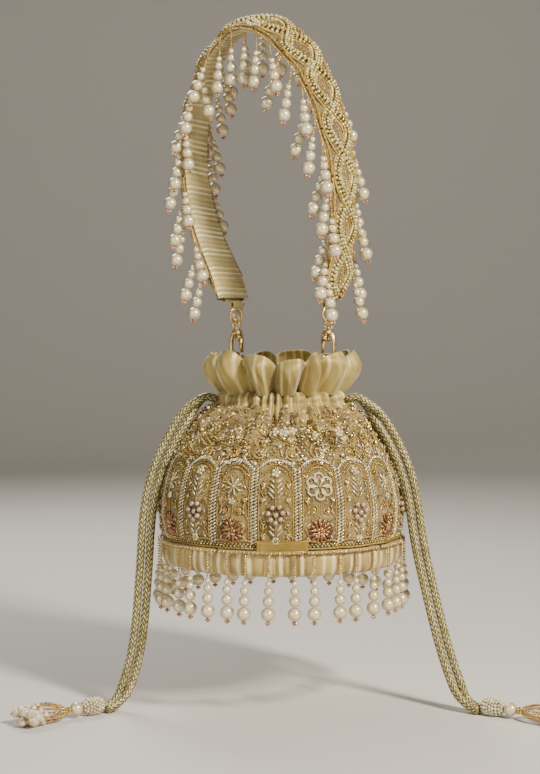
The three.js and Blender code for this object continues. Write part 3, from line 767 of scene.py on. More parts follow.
def draw_curl(needle, across, up, size, turn, kind="zari_cord", radius=0.42, start=math.pi / 2, sweep=2.4):
    """A spiral tendril that winds in from its outer end."""
    t = np.linspace(0, 1, 26)
    a = start + turn * sweep * math.pi * t
    r = size * (1 - 0.78 * t)
    needle.cord(across + r * np.cos(a), up + r * np.sin(a), radius, kind, 0.4, step=0.8)


def draw_sequins(needle, across, up, size, centre, kind):
    """Sequins, each held by a seed bead."""
    needle.beads(SEQUIN, across, up, size, "sequin", 0.5)
    needle.beads(SMALL_BEAD, across, up, centre, kind, 0.9)


LEAF_LEAN = 42           # degrees between a fern's leaves and its stem
LEAVES_UP = np.array([8.5, 11.5, 29.5, 32.5, 35.5, 38.5])
LEAVES_LONG = np.array([5.2, 4.6, 5.8, 5.4, 4.8, 3.8])
BERRIES = [(0, 15.4), (-2.7, 17.2), (2.8, 17.4), (-4.1, 20.6), (0.2, 19.7), (4.0, 21.0), (-1.8, 23.8),
           (2.2, 24.2)]


def draw_fern(needle):
    """A stem with silver leaves, a cluster of pink pearls and a rosette at either end."""
    stem = np.linspace(3.5, 40, 34)
    needle.cord(0, stem, 0.4, "zari_cord", 0.3)
    lean = math.radians(LEAF_LEAN)
    sizes = LEAVES_LONG[:, None] * (0, 0, 0.86) + (1.05, 1.05, 0)
    for side in (-1, 1):
        needle.beads(BUGLE, side * (0.5 + LEAVES_LONG / 2 * math.sin(lean)),
                     LEAVES_UP + LEAVES_LONG / 2 * math.cos(lean) - 1, sizes, "silver_bead", 0.7,
                     aim=LEAF_LEAN * side)
        draw_curl(needle, side * 7.4, 13.5, 2.6, side)
        draw_sequins(needle, side * 7.2, [8.0, 28.0, 37.0], 2.6, 1.1, "straw_bead")
    for across, up in BERRIES:
        needle.beads(FINE_BEAD, across, up, 3.2, "pearl_pink", 1.3)
    draw_rosette(needle, 0, 43.6, 2.3, "silver_bead", 5, "pearl")
    fill_panel(needle, 0)
    draw_rosette(needle, 0, 5.0, 2.0, "silver_bead")


def fill_panel(needle, start):
    """Tendrils and loose seed beads down both sides of a sprig."""
    for side in (-1, 1):
        up = np.linspace(4, 44, 70)
        needle.cord(side * (8.4 + 1.5 * np.sin(up / 2.6 + start)), up, 0.42, "zari_cord", 0.35, lobes=2)
        spots = np.arange(5, 43, 3.8)
        needle.beads(SMALL_BEAD, side * (5.4 + 1.3 * np.sin(spots + start)), spots, 1.25, "straw_bead", 0.5)
        leaf = np.arange(6.5, 42, 7.2)
        needle.beads(BUGLE, side * 7.0, leaf, (0.85, 0.85, 2.6), "silver_bead", 0.6, aim=-38 * side)


FLOWER_UP, BLOOM_UP = 35.5, 10.2
# The copper bloom's rings of rays: reach, count, kind, thickness, first angle and inner share.
BLOOM = [(7.4, 14, "copper", 1.5, 18, 0.36), (5.2, 9, "copper", 1.3, 0, 0.3),
         (4.6, 5, "silver_bead", 1.0, 0, 0.4)]


def draw_flower(needle, outlined):
    """A stem from a copper bloom to a star, which may have petals outlined in white beads."""
    fill_panel(needle, 2)
    stem = np.linspace(4, 34, 30)
    needle.cord(0.6 * np.sin(stem / 3), stem, 0.4, "zari_cord", 0.3)
    draw_rays(needle, FLOWER_UP, 5.2, 6 if outlined else 8, "silver_bead", 1.15, 30, 0.2)
    if outlined:
        draw_petals(needle)
    else:
        a = np.radians(22.5 + 45 * np.arange(8))
        needle.beads(SMALL_BEAD, 6.2 * np.sin(a), FLOWER_UP + 6.2 * np.cos(a), 1.2, "straw_bead", 0.6)
        draw_rosette(needle, 0, FLOWER_UP - 8.4, 1.7, "silver_bead", 5, "silver_bead")
    needle.beads(BEAD, 0, FLOWER_UP, 2.4, "straw_bead", 1.1)
    for side in (-1, 1):
        draw_curl(needle, side * 4.2, 22.0, 2.9, side)
        draw_sequins(needle, side * np.array([4.2, 7.6, 7.4]), [22.0, 28.0, 42], 2.8, 1.2, "amber_bead")
    for ring in BLOOM:
        draw_rays(needle, BLOOM_UP, *ring)
    draw_rosette(needle, 0, BLOOM_UP, 2.0, "gold_bead", 5, "copper")


def draw_petals(needle):
    """Six loops of white beads about the star."""
    t = np.linspace(0.18, 1.82, 12) * math.pi
    r, w = 5.4 - 2.1 * np.cos(t), 2.5 * np.sin(t)
    for k in range(6):
        a = math.radians(60 * k)
        across, up = r * math.sin(a) + w * math.cos(a), r * math.cos(a) - w * math.sin(a)
        needle.beads(SMALL_BEAD, across, FLOWER_UP + up, 1.5, "white_bead", 0.8)


SHOULDER_SCROLLS = 22
SHOULDER_ROWS = [(56, 4.2), (64, 3.7), (72, 3.2)]        # distance up the pouch, and the scrolls' size
SHOULDER_ROSETTES = [(-89, 68.5, "white_bead"), (-84, 70.5, "white_bead"), (-95, 69, "pearl"),
                     (-70, 66, "pearl"), (-122, 71, "pearl_pink"), (-128, 66, "pearl_pink"),
                     (-55, 68, "pearl")]
# What is scattered between them: the shares of the spots, shape, size, kind and lift.
SCATTER = [(0.0, 0.46, SMALL_BEAD, 1.5, "straw_bead", 0.5), (0.46, 0.60, SMALL_BEAD, 1.3, "silver_bead", 0.5),
           (0.60, 0.70, SEQUIN, 2.6, "sequin", 0.8), (0.70, 0.80, SMALL_BEAD, 1.6, "amber_bead", 0.55),
           (0.80, 0.83, BEAD, 2.6, "pearl", 1.1)]


def make_vines():
    """The gathered shoulder: scrolls, sequins and pearls crowded over gold thread."""
    scrolls = Piece("shoulder_scrolls", "bag", slot="zari_silk")
    beads = Piece("shoulder_beads", "bag", slot="gold_bead")
    for k in range(SHOULDER_SCROLLS):
        theta = FRONT + 2 * math.pi * (k + 0.5) / SHOULDER_SCROLLS
        turn = 1 if k % 2 else -1
        for run, size in SHOULDER_ROWS:
            scroll, bead = (Needle(piece, theta + RNG.normal(0, 0.02), run + RNG.normal(0, 0.7))
                            for piece in (scrolls, beads))
            draw_curl(scroll, 0, 0, size, turn, radius=0.8, start=RNG.uniform(0, 6.3), sweep=2.6)
            draw_curl(scroll, 0, 0, size + 1.6, turn, "silver_cord", 0.65, RNG.uniform(0, 6.3), 1.6)
            kind = ("silver_bead", "straw_bead", "straw_bead")[int(RNG.integers(3))]
            draw_rays(bead, 0, 2.7, 6, kind, 0.95, RNG.uniform(0, 60), 0.3)
            kind = "pearl" if RNG.random() < 0.25 else "straw_bead"
            bead.beads(BEAD, 0, 0, 2.3 if run < 60 else 2.6, kind, 1.2)
    scatter_fill(beads)
    for angle, run, kind in SHOULDER_ROSETTES:
        draw_rosette(Needle(beads, math.radians(angle), run), 0, 0, 2.5, kind, 5, kind)
    scrolls.make()
    beads.make()


def scatter_fill(piece):
    """Seed beads, sequins and short silver beads, as close as they can be sewn."""
    spots = []
    for run in np.arange(ARCH + 4.5, BODY_TOP - 2.5, 2.3):
        n = int(2 * math.pi * pouch_radius(run) / 2.7)
        theta = 2 * math.pi * (np.arange(n) + RNG.uniform(0, 1, n) * 0.7) / n
        spots.append(np.stack([theta, run + RNG.uniform(-0.8, 0.8, n)]))
    theta, run = np.concatenate(spots, 1)
    pick = RNG.random(len(theta))
    for low, high, shape, size, kind, lift in SCATTER:
        chosen = (pick >= low) & (pick < high)
        at = theta[chosen], run[chosen]
        piece.beads(shape, pouch_point(*at, lift), size, kind, pouch_frames(*at))
    chosen = pick >= SCATTER[-1][1]
    at = theta[chosen], run[chosen]
    turns = lying(pouch_frames(*at), RNG.uniform(0, math.pi, chosen.sum()))
    piece.beads(BUGLE, pouch_point(*at, 0.8), (1.0, 1.0, 3.2), "silver_bead", turns)


# ---- neck, ruffle, band and base ------------------------------------------------------------------------
def lobes(theta, lean):
    """Rounded gathers of unequal width, each 1 at its middle and 0 in the creases beside it."""
    place = 17 * theta + 1.0 * np.sin(4 * theta + 0.4) + 0.7 * np.sin(7 * theta)
    return np.abs(np.sin(place + lean * np.sin(5 * theta + 2))) ** 0.8


NECK_PROFILE = [(45.2, 87.8), (43.6, 91.0), (40.4, 94.4), (38.2, 96.8), (38.2, 98.8), (37.2, 100.8),
                (34.6, 102.4)]


def make_neck():
    """The drawn-up channel of the drawcords: small hard gathers, spilling a little over the pouch."""
    around = 720
    theta = full_turn(around)
    profile = curve_points(NECK_PROFILE, 26)
    t = np.linspace(0, 1, len(profile))[:, None]
    swell = (1 - t) * lobes(theta, 0) + t * lobes(theta, 0.9)
    length = np.sin(9 * theta + 1) + 0.8 * np.sin(16 * theta)
    fine = 0.14 * np.sin(87 * theta + 2 * np.sin(9 * theta))
    r = profile[:, :1] - 3.8 + 5.2 * swell + fine - 1.3 * (1 - t) ** 2
    z = profile[:, 1:] + (1 - t) * ((0.5 - swell) * 3.6 - 0.9 * length) + 0.8 * t * swell
    piece = Piece("neck", "bag", "neck_casing", slot="ivory_silk")
    run = run_along(profile)[:, None]
    piece.grid(around_axis(r, theta, z), "silk", texture_round(60.8, around), run, wrap=True)
    piece.make()


# The ruffle's creases: the angle of each at the foot and at the rim, in degrees.
RUFFLE_CREASES = [(-162, -156), (-119, -125), (-98, -95), (-73, -71), (-54, -58), (-20, -22), (8, 6),
                  (34, 37), (60, 58), (92, 95), (122, 121), (160, 158)]
SUNK_AT = math.radians(-84)      # the middle of the puffs that have sunk
RUFFLE_FOOT_Z, RUFFLE_TALL, RUFFLE_FOLD = 101.2, 24, 3      # the last two along the silk


def ruffle_puff(theta, t):
    """Where each angle lies in its puff: 0 at a crease and 1 at the middle; and the puff's own width."""
    crease = np.radians([foot + (rim - foot) * smoothstep(t, 0, 1) for foot, rim in RUFFLE_CREASES])
    crease = np.concatenate([crease, [crease[0] + 2 * math.pi]])
    turned = np.mod(theta - crease[0], 2 * math.pi) + crease[0]
    after = np.clip(np.searchsorted(crease, turned, side="right"), 1, len(crease) - 1)
    width = crease[after] - crease[after - 1]
    share = (turned - crease[after - 1]) / width
    return 4 * share * (1 - share), width


def ruffle_point(theta, t, skin):
    """The outer (skin 0) or inner (skin 1) face: its radius and height, t from 0 at foot to 1 at rim."""
    share, width = ruffle_puff(theta, t)
    puff = share ** (1.2 - 0.5 * smoothstep(t, 0, 0.55))
    stray = np.sin(5 * theta + 0.5) + 0.7 * np.sin(11 * theta + 2)
    open_out = np.sin(t * 1.85) / math.sin(1.85)
    deep = 8.5 + 5.0 * math.sin(math.pi * min(t, 0.5)) - 5.5 * smoothstep(t, 0.62, 1)
    r = 36.8 + 9.2 * open_out + deep * (0.76 + 0.6 * width) * (puff - 0.84) + 0.7 * t * stray
    pleat = 0.5 * np.sin(46 * theta + 9 * t + 2 * stray) * puff * math.sin(math.pi * t)
    z = RUFFLE_FOOT_Z + 23.0 * t + 4.6 * t * t * (puff - 0.6) + 1.1 * t * stray
    # The hem rolls inwards, and the puffs at the front have sunk forwards.
    roll = max(0.0, (t - 0.66) / 0.34) ** 2
    sunk = np.exp(-(turned_by(theta, SUNK_AT) / 0.42) ** 2) * t * t
    r = r - 3.4 * roll * puff + 1.6 * sunk
    z = z - 1.2 * roll * (1 - puff) - 3.0 * sunk
    return r + pleat - (1.2 + 1.2 * math.sin(math.pi * t)) * skin, z


def make_ruffle():
    around = 432
    theta = full_turn(around)
    rise = np.linspace(0, 1, 20)
    outer, inner = ([ruffle_point(theta, t, skin) for t in rise] for skin in (0, 1))
    (r0, z0), (r1, _) = outer[-1], inner[-1]
    turn = np.linspace(0, math.pi, 7)[1:-1]
    hem = [((r0 + r1) / 2 + (r0 - r1) / 2 * math.cos(a), z0 + 0.7 * math.sin(a)) for a in turn]
    rows = np.array([around_axis(r, theta, z) for r, z in outer + hem + inner[::-1]])
    run = np.concatenate([RUFFLE_TALL * rise, RUFFLE_TALL + turn,
                          RUFFLE_TALL + RUFFLE_FOLD + RUFFLE_TALL * (1 - rise[::-1])])
    piece = Piece("ruffle_silk", "bag", "ruffle", slot="ivory_silk")
    piece.grid(rows, "silk", texture_round(56, around), run[:, None], wrap=True)
    piece.make()


BAND_PROFILE = [(63, 4.3), (66.4, 4.4), (67.5, 10), (67.6, 15.6), (69.2, 16.2), (71.2, 14.4), (72.1, 11.5),
                (72.3, 8), (71.9, 4.4), (70.6, 1.6), (68, 0.2), (63, 0.15)]
BAND_MIDDLE = (68.5, 8.0)


def make_band():
    """The padded roll: silk pleated over it in ridges that slant a little, pinched at its seams."""
    around = 720
    theta = full_turn(around)
    outline = curve_points(BAND_PROFILE, 30)
    out = unit(outline - BAND_MIDDLE)
    seen = smoothstep(outline[:, 0], 69.5, 71.5)[:, None]
    skew = theta[None] + 0.012 * np.sin(outline[:, 1:] / 5)
    pleats = np.abs(np.sin(36 * skew + 2.2 * np.sin(8 * skew) + np.sin(13 * skew)))
    soft = 0.5 * np.sin(9 * skew + 0.6) + 0.5 * np.sin(23 * skew)
    lift = seen * (1.7 * (pleats ** 0.7 - 0.72) + 0.5 * soft)
    r = outline[:, :1] + lift * out[:, :1]
    z = np.clip(outline[:, 1:] + lift * out[:, 1:], 0.05, 16.35)
    rows = around_axis(r, theta, z)
    run = run_along(outline)
    piece = Piece("band_roll", "bag", "bottom_band", slot="ivory_silk")
    piece.grid(np.concatenate([rows, rows[:1]]), "band", texture_round(71.6, around),
               np.append(run, run[-1] + 4.0)[:, None], wrap=True, flip=True)
    piece.make()


PLATE_R, PLATE_Z, PLATE_HALF = 73.0, 18, (14.5, 3.5)


def mirrored(steps, middle, count):
    """Places across the plate: close steps over its rim at both ends, and even ones between."""
    return np.concatenate([-np.array(steps), np.linspace(-middle, middle, count), steps[::-1]])


def make_plate():
    """The small bare plate: a curved strip with a raised rim."""
    along = mirrored([14.5, 14.3, 13.9, 13.6], 13.2, 23)
    up = mirrored([3.5, 3.3, 2.95, 2.75], 2.5, 7)[:, None]
    rim = np.maximum(smoothstep(np.abs(along), 13.4, 13.8), smoothstep(np.abs(up), 2.6, 2.9))
    fall = np.minimum(1, np.minimum(PLATE_HALF[0] - np.abs(along), PLATE_HALF[1] - np.abs(up)) / 0.2)
    a = along[None] / PLATE_R
    rows, back = (np.stack([r * np.sin(a), -r * np.cos(a), PLATE_Z + up + 0 * a], -1)
                  for r in (PLATE_R + 0.5 + 0.4 * rim - 0.3 * (1 - fall), PLATE_R + 0 * rim))
    piece = Piece("plate", "bag", "name_plate", slot="gold_metal")
    piece.grid(rows, "plate")
    piece.grid(back, "plate", flip=True)
    edge = [np.concatenate([g[0], g[1:, -1], g[-1, -2::-1], g[-2:0:-1, 0]]) for g in (back, rows)]
    piece.grid(edge, "plate", wrap=True)
    piece.make()


BASE_PROFILE = [(0.01, 1.7), (61.2, 1.7), (62, 1.5), (62.2, 0.9), (61.6, 0.3), (60, 0.05), (52, 0.0),
                (20, 0.12), (0.01, 0.1)]
BOARD_RISE = 1.95        # the board's underside above the base


def make_base():
    """Silk drawn over the stiff disc, with a puckered edge, and the board inside it."""
    around = 128
    theta = full_turn(around)
    r, z = np.array(BASE_PROFILE).T[..., None]
    pucker = np.zeros_like(z)
    pucker[3:6] = 0.12
    silk = z + pucker * np.clip(np.sin(18 * theta), 0, 1)
    layers = [("base_silk", "base_cover", "ribbon", "ivory_silk", silk),
              ("base_stiffener", "base_board", "tape", "board", z + BOARD_RISE)]
    for name, node, kind, slot, height in layers:
        piece = Piece(name, "bag", node, slot=slot)
        piece.grid(around_axis(r, theta, height), kind, texture_round(60, around), r, wrap=True, flip=True)
        piece.make()


LINING_PROFILE = [(0.5, 4.7), (40, 4.6), (66.6, 4.8), (66.8, 12), (69.4, 26), (69.6, 38), (66.3, 54),
                  (58.6, 70), (48.4, 84), (38.4, 92.2), (34.1, 94.6), (33.9, 100.8), (35.2, 102)]


def make_lining():
    """The plain lining, loose inside the shell and drawn up in soft folds under the neck."""
    around = 200
    theta = full_turn(around)
    profile = curve_points(LINING_PROFILE, 50)
    r, z = profile[:, :1], profile[:, 1:]
    t = smoothstep(z, 20, 95)
    folds = 0.7 * np.sin(24 * theta + 2 * np.sin(3 * theta)) + 0.35 * np.sin(53 * theta)
    inwards = 0.6 + 1.3 * smoothstep(z, 18, 30) * (1 - smoothstep(z, 86, 93))
    r = np.maximum(r - inwards + t * folds * 0.8 - 0.4 * t, 0.3)
    piece = Piece("lining_silk", "bag", "pouch_lining", slot="lining_silk")
    run = run_along(profile)[:, None]
    piece.grid(around_axis(r, theta, z), "lining", texture_round(60, around), run, wrap=True)
    piece.make()


# ---- bead strands -----------------------------------------------------------------------------------
PEARLS = (3.5, 5, 6.5, 8)        # diameters down a strand
BASE_SEEDS, STRAP_SEEDS = 14.5, 10.5     # the run of seed beads above them
SEED_PITCH = 1.5
BASE_FRINGE_NODES, STRANDS_EACH = 9, 4


def hang_strand(piece, top, down, seed_run):
    """Gold seed beads, four graded pearls and a trefoil of rose beads, on one thread."""
    down = unit(np.asarray(down, float))
    count = int(seed_run / SEED_PITCH)
    at = (np.arange(count) + 0.5) * (seed_run / count)
    turns = turns_to(down)
    sizes = RNG.uniform(1.6, 1.8, count)[:, None] * (1, 1, 0) + (0, 0, SEED_PITCH)
    piece.beads(SMALL_BEAD, top + down * at[:, None], sizes, "gold_bead", turns)
    run = seed_run
    for size in PEARLS:
        piece.beads(FINE_BEAD, top + down * (run + size / 2), (size, size, size * 0.97), "pearl", turns)
        run += size
    side, front = turns[0][:, 0], turns[0][:, 1]
    for k in range(3):
        a = 2 * math.pi * k / 3
        spot = top + down * (run + 0.9) + (side * math.cos(a) + front * math.sin(a)) * 0.95
        piece.beads(BEAD, spot, 1.8, "rose_bead", turns)
    piece.beads(SMALL_BEAD, top + down * (run + 1.9), 1.4, "rose_bead", turns)


def make_base_fringe():
    """The tape under the pouch's hem, edged with seed beads, and its strands."""
    pitch = 2 * math.pi / (BASE_FRINGE_NODES * STRANDS_EACH)
    for node in range(BASE_FRINGE_NODES):
        first = node * STRANDS_EACH
        piece = Piece(f"fringe_base_{node + 1}", "bag", f"base_fringe_{node + 1}", slot="pearl")
        span = np.linspace(first + 0.05, first + 3.95, 24) * pitch
        out = around_axis(1, span, 0)
        points = out * 73.3 + UP * 14.5
        corners = [(-1, -1), (-1, 1), (1, 1), (1, -1)]
        rows = np.stack([points + out * (a * 0.6) + UP * (b * 0.9) for a, b in corners], 1)
        piece.grid(rows, "tape", np.array([[0, 1.2, 3.6, 4.8, 7.2]]), run_along(points)[:, None], wrap=True)
        row = np.linspace(first + 0.12, first + 3.88, 20) * pitch
        piece.beads(SMALL_BEAD, around_axis(74.0, row, 14.3), 1.7, "gold_bead")
        for i in range(STRANDS_EACH):
            a = (first + i + 0.5 + RNG.uniform(-0.13, 0.13)) * pitch
            hang_strand(piece, around_axis(74.3, a, 13.4), (*RNG.normal(0, 0.014, 2), -1), BASE_SEEDS)
        piece.make()


# ---- strap --------------------------------------------------------------------------------------------
STRAP_LINE = [(-38, 158), (-43.5, 172), (-52, 187.5), (-60, 204), (-66, 224), (-69, 250), (-66, 277),
              (-58, 299), (-45, 316), (-27, 325), (-8, 321.5), (8, 310), (22, 293), (33.5, 271), (41, 247),
              (44.5, 222), (44.5, 199), (42.5, 180), (37.5, 158)]
STRAP_W = 31.0
STRAP_ROLL = [(0, 0), (0.28, 14), (0.44, 22), (0.56, 14), (0.7, 0), (0.84, -11), (1, -11)]   # degrees
STRAP_COUNT = 600
STRAP_CENTRE = curve_points([(s, 0, z) for s, z in STRAP_LINE], STRAP_COUNT)
STRAP_U = np.linspace(0, 1, STRAP_COUNT)
STRAP_LENGTH = run_along(STRAP_CENTRE)[-1]
HANDLE = np.array([[math.cos(TURN), math.sin(TURN), 0], [-math.sin(TURN), math.cos(TURN), 0], [0, 0, 1]])
TO_FRAME = HANDLE.T      # turns a row of the strap's own axes into the frame's
PAD_OUTLINE = [(-14.4, -1.0), (-15.4, -0.5), (-15.6, 0.2), (-15, 0.8), (-12, 1.2), (0, 1.5), (12, 1.2),
               (15, 0.8), (15.6, 0.2), (15.4, -0.5), (14.4, -1.0), (0, -1.2)]
TUCK_PITCH = 3.3         # the bars on the strap's silk, and its tucks
LACE_PITCH = 1.9


def strap_roll(u):
    roll = np.zeros_like(u)
    for (start, low), (end, high) in zip(STRAP_ROLL, STRAP_ROLL[1:]):
        inside = (u >= start) & (u <= end)
        roll[inside] = low + (high - low) * smoothstep(u[inside], start, end)
    return roll


def strap_axes():
    """Directions along, across and out from the strap, all along it."""
    along = unit(np.gradient(STRAP_CENTRE, axis=0))
    across = np.array([0, 1.0, 0])
    roll = np.radians(strap_roll(STRAP_U))[:, None]
    width = across * np.cos(roll) + np.cross(along, across) * np.sin(roll)
    return along, width, np.cross(along, width)


STRAP_AXES = strap_axes()


def along_strap(u, table):
    u = np.asarray(u, float)
    return np.stack([np.interp(u, STRAP_U, table[:, k]) for k in range(3)], -1)


def strap_point(u, w, n):
    """Points at shares of the strap's length, w across it and n out from its middle."""
    u, w, n = np.broadcast_arrays(np.asarray(u, float), w, n)
    width, out = along_strap(u, STRAP_AXES[1]), along_strap(u, STRAP_AXES[2])
    return (along_strap(u, STRAP_CENTRE) + width * w[..., None] + out * n[..., None]) @ TO_FRAME


def strap_turns(u):
    """Turns whose third column stands out from the strap and whose second runs along it."""
    along, out = (unit(along_strap(u, STRAP_AXES[k])) @ TO_FRAME for k in (0, 2))
    return np.stack([np.cross(along, out), along, out], -1)


def strap_beads(piece, shape, u, w, n, size, kind):
    piece.beads(shape, strap_point(u, w, n), size, kind, strap_turns(u))


def make_strap_lining():
    """The silk underside: small soft tucks across it, and a rolled edge."""
    u = np.linspace(0.001, 0.999, 560)[:, None]
    w = np.linspace(-1, 1, 13)[None] * (STRAP_W / 2 - 0.6)
    run = u * STRAP_LENGTH
    tuck = 0.5 + 0.5 * np.cos(2 * np.pi * run / TUCK_PITCH + 0.8 * np.sin(run / 9))
    swell = 0.5 * np.cos(2 * np.pi * run / 14)
    edge = smoothstep(np.abs(w), STRAP_W / 2 - 3.4, STRAP_W / 2 - 0.6)
    n = -1.9 - (0.75 * tuck - 0.3 * swell + 0.4) * (1 - edge ** 2) + 0.9 * edge
    piece = Piece("strap_silk", "handle", "strap_lining", slot="ivory_silk")
    piece.grid(strap_point(u, w, n), "strap_silk", run, w + 20)
    piece.make()


def make_strap_core():
    """The padded strap under the embroidery: gold cloth round a flat pad, with scalloped edges."""
    outline = curve_points(PAD_OUTLINE, 26)
    u = np.linspace(0, 1, 320)[:, None]
    wave = 1 + 0.012 * np.cos(2 * np.pi * u * STRAP_LENGTH / 5.2)
    taper = np.minimum(1, 0.3 + 0.7 * np.sqrt(np.clip(np.minimum(u, 1 - u) / 0.012, 0, 1)))
    rows = strap_point(u, outline[None, :, 0] * (wave * taper), outline[None, :, 1] * (taper * 0.4 + 0.6))
    piece = Piece("strap_pad", "handle", "strap_core", slot="zari_silk")
    around = run_along(outline)
    piece.grid(rows, "zari", np.append(around, around[-1] + 14)[None], u * STRAP_LENGTH, wrap=True)
    for end, flip in ((rows[0], True), (rows[-1], False)):
        piece.grid([end, 0.02 * end + 0.98 * end.mean(0)], "zari", wrap=True, flip=flip)
    piece.make()


def make_strap_braid():
    """Two broad beaded cords that cross again and again, gathered gold lace in the eyes between."""
    piece = Piece("strap_beadwork", "handle", "strap_braid", slot="bead_braid")
    loops = round(STRAP_LENGTH / 60)
    wave = STRAP_LENGTH / loops
    for sign in (-1, 1):
        beaded_cord(piece, sign, wave)
    for k in range(2 * loops):
        gathered_eye(piece, (k + 0.5) * wave / 2, wave / 4, 8.0)
        for side in (-1, 1):
            gathered_edge(piece, k * wave / 2, side, wave / 4)
    piece.make()


def beaded_cord(piece, sign, wave):
    """Four rows of beads between two threads, that swing from side to side of the strap."""
    run = np.arange(3, STRAP_LENGTH - 3, 1.95)
    w = sign * 10.6 * np.sin(2 * np.pi * run / wave)
    slope = np.gradient(w, run)
    lean = np.sqrt(1 + slope ** 2)
    over = 1.6 * smoothstep(sign * np.cos(2 * np.pi * run / wave), -0.6, 0.6)
    for place, row in enumerate((-3.1, -1.05, 1.05, 3.1)):
        lift = (2.5 if abs(row) > 2 else 3.5) + over * 0.6
        u = (run + 0.5 * (place % 2) - row * slope / lean) / STRAP_LENGTH
        cream = RNG.random(len(run)) < 0.72
        for keep, kind in ((cream, "cream_bead"), (~cream, "straw_bead")):
            strap_beads(piece, BEAD, u[keep], (w + row / lean)[keep], lift[keep], 2.2, kind)
    for row in (-4.3, 4.3):
        line = strap_point((run - row * slope / lean) / STRAP_LENGTH, w + row / lean, 1.9 + over * 0.4)
        piece.tube(line, 0.8, "zari_cord", around=6, lobes=2, lay=3.0)


def gathered_eye(piece, middle, half, width):
    """A raised leaf of lace, pleated outwards from its long axis."""
    along, across = np.linspace(-1, 1, 45)[:, None], np.linspace(-1, 1, 11)[None]
    outline = np.sqrt(np.clip(1 - np.abs(along) ** 2.2, 0, 1))
    s = middle + half * 0.92 * along + 0 * across
    w = width * outline * across
    rib = 0.32 * np.cos(2 * np.pi * s / LACE_PITCH) * np.abs(across) ** 0.6
    n = 1.3 + (1.5 * (1 - across ** 2) - 0.5 * np.exp(-(across / 0.2) ** 2)) * outline + rib * outline
    piece.grid(strap_point(s / STRAP_LENGTH, w, n), "lace", w + 10, s)
    row = np.arange(-half * 0.6, half * 0.61, 2.3)
    strap_beads(piece, SMALL_BEAD, (middle + row) / STRAP_LENGTH, 0, 2.6, 1.7, "gold_bead")


def gathered_edge(piece, middle, side, half):
    """The lace outside a crossing, drawn into a shallow scallop at the strap's edge."""
    s = middle + np.linspace(-1, 1, 45)[:, None] * half * 0.95
    inside = np.clip(s, 0.5, STRAP_LENGTH - 0.5) / STRAP_LENGTH
    t = np.linspace(0, 1, 8)[None]
    reach = 14.8 - 1.6 * np.cos(np.pi * (s - middle) / (2 * half)) ** 2
    w = side * (3.0 + (reach - 3.0) * t)
    n = 1.1 + 1.3 * np.sin(np.pi * (0.25 + 0.75 * t)) + 0.3 * np.cos(2 * np.pi * s / LACE_PITCH) * t ** 0.5
    piece.grid(strap_point(inside, w, n), "lace", w + 20, s + 0 * w, flip=side < 0)
    if 1 < middle < STRAP_LENGTH - 1:
        line = strap_point(inside[:, 0], side * (reach[:, 0] + 0.3), 1.3)
        piece.tube(line, 0.95, "zari_cord", around=6, lobes=2, lay=3.4)


FRINGE_U = (0.04, 0.965)
FRINGE_COUNT, FRINGE_NODES = 30, 6
FRINGE_PITCH = (FRINGE_U[1] - FRINGE_U[0]) / FRINGE_COUNT
SPLAY = 11.9             # how far crowded strands push apart at their pearls
CROWDED = (0.35, 0.75)   # steepness over which the strands come to crowd
SETTLED = 0.01           # the fringe is at rest when no strand moves further than this
PEARL_SIZES = np.array(PEARLS)
PEARL_DEPTHS = STRAP_SEEDS + np.cumsum(PEARL_SIZES) - PEARL_SIZES / 2


def strand_tops(edge):
    """Where an edge's strands start, and which way their big pearls are pushed, in the strap's plane."""
    index = np.arange(FRINGE_COUNT)
    u = FRINGE_U[0] + FRINGE_PITCH * (index + 0.5)
    crowd = smoothstep(np.abs(np.interp(u, STRAP_U, STRAP_AXES[0][:, 2])), *CROWDED)
    a = ((index % 3) - 1) * math.pi / 3
    lean = np.stack([crowd * SPLAY * np.sin(a), edge * crowd * SPLAY * np.cos(a), 0 * a], -1)
    return strap_point(u, edge * 17.0, 0), lean


def parting(near, far):
    """How far and which way one strand's pearls must move to clear another's."""
    gap = near[:, None] - far[None]
    need = (PEARL_SIZES[:, None] + PEARL_SIZES[None]) / 2 + 0.15 - np.linalg.norm(gap, axis=-1)
    if need.max() <= 0:
        return 0.0
    p, q = np.unravel_index(np.argmax(need), need.shape)
    away = gap[p, q] * (1, 1, 0)
    away = away / max(np.linalg.norm(away), 0.05)
    return (away @ HANDLE) * need[p, q] * 0.25 * PEARL_DEPTHS[p] / PEARL_DEPTHS[-1]


def settle(tops, lean):
    """Let crowded strands fall back towards the plumb line until their pearls touch."""
    share = (PEARL_DEPTHS / PEARL_DEPTHS[-1])[None, :, None]
    local = lean * 0.62
    for _ in range(240):
        centres = tops[:, None] + ((local @ TO_FRAME)[:, None] * share - UP * PEARL_DEPTHS[None, :, None])
        push = np.zeros_like(local)
        for i in range(len(tops)):
            for j in range(max(0, i - 4), min(len(tops), i + 5)):
                if i != j:
                    push[i] += parting(centres[i], centres[j])
        local = local + push
        if np.abs(push).max() < SETTLED:
            break
    return local @ TO_FRAME


def make_strap_fringe(edge, label):
    tops, lean = strand_tops(edge)
    reach = settle(tops, lean)
    per = FRINGE_COUNT // FRINGE_NODES
    for node in range(FRINGE_NODES):
        piece = Piece(f"fringe_strap_{label}_{node + 1}", "handle", f"strap_fringe_{label}_{node + 1}",
                      slot="pearl")
        tape, row = (FRINGE_U[0] + FRINGE_PITCH * per * (node + np.linspace(first, 1 - first, count))
                     for first, count in ((0.01, 40), (0.02, 26)))
        piece.tube(strap_point(tape, edge * 16.6, 0.0), 0.6, "tape", around=6)
        strap_beads(piece, SMALL_BEAD, row, edge * 17.2, 0.3, 1.6, "gold_bead")
        for i in range(node * per, (node + 1) * per):
            hang_strand(piece, tops[i], reach[i] - UP * PEARL_DEPTHS[-1], STRAP_SEEDS)
        piece.make()


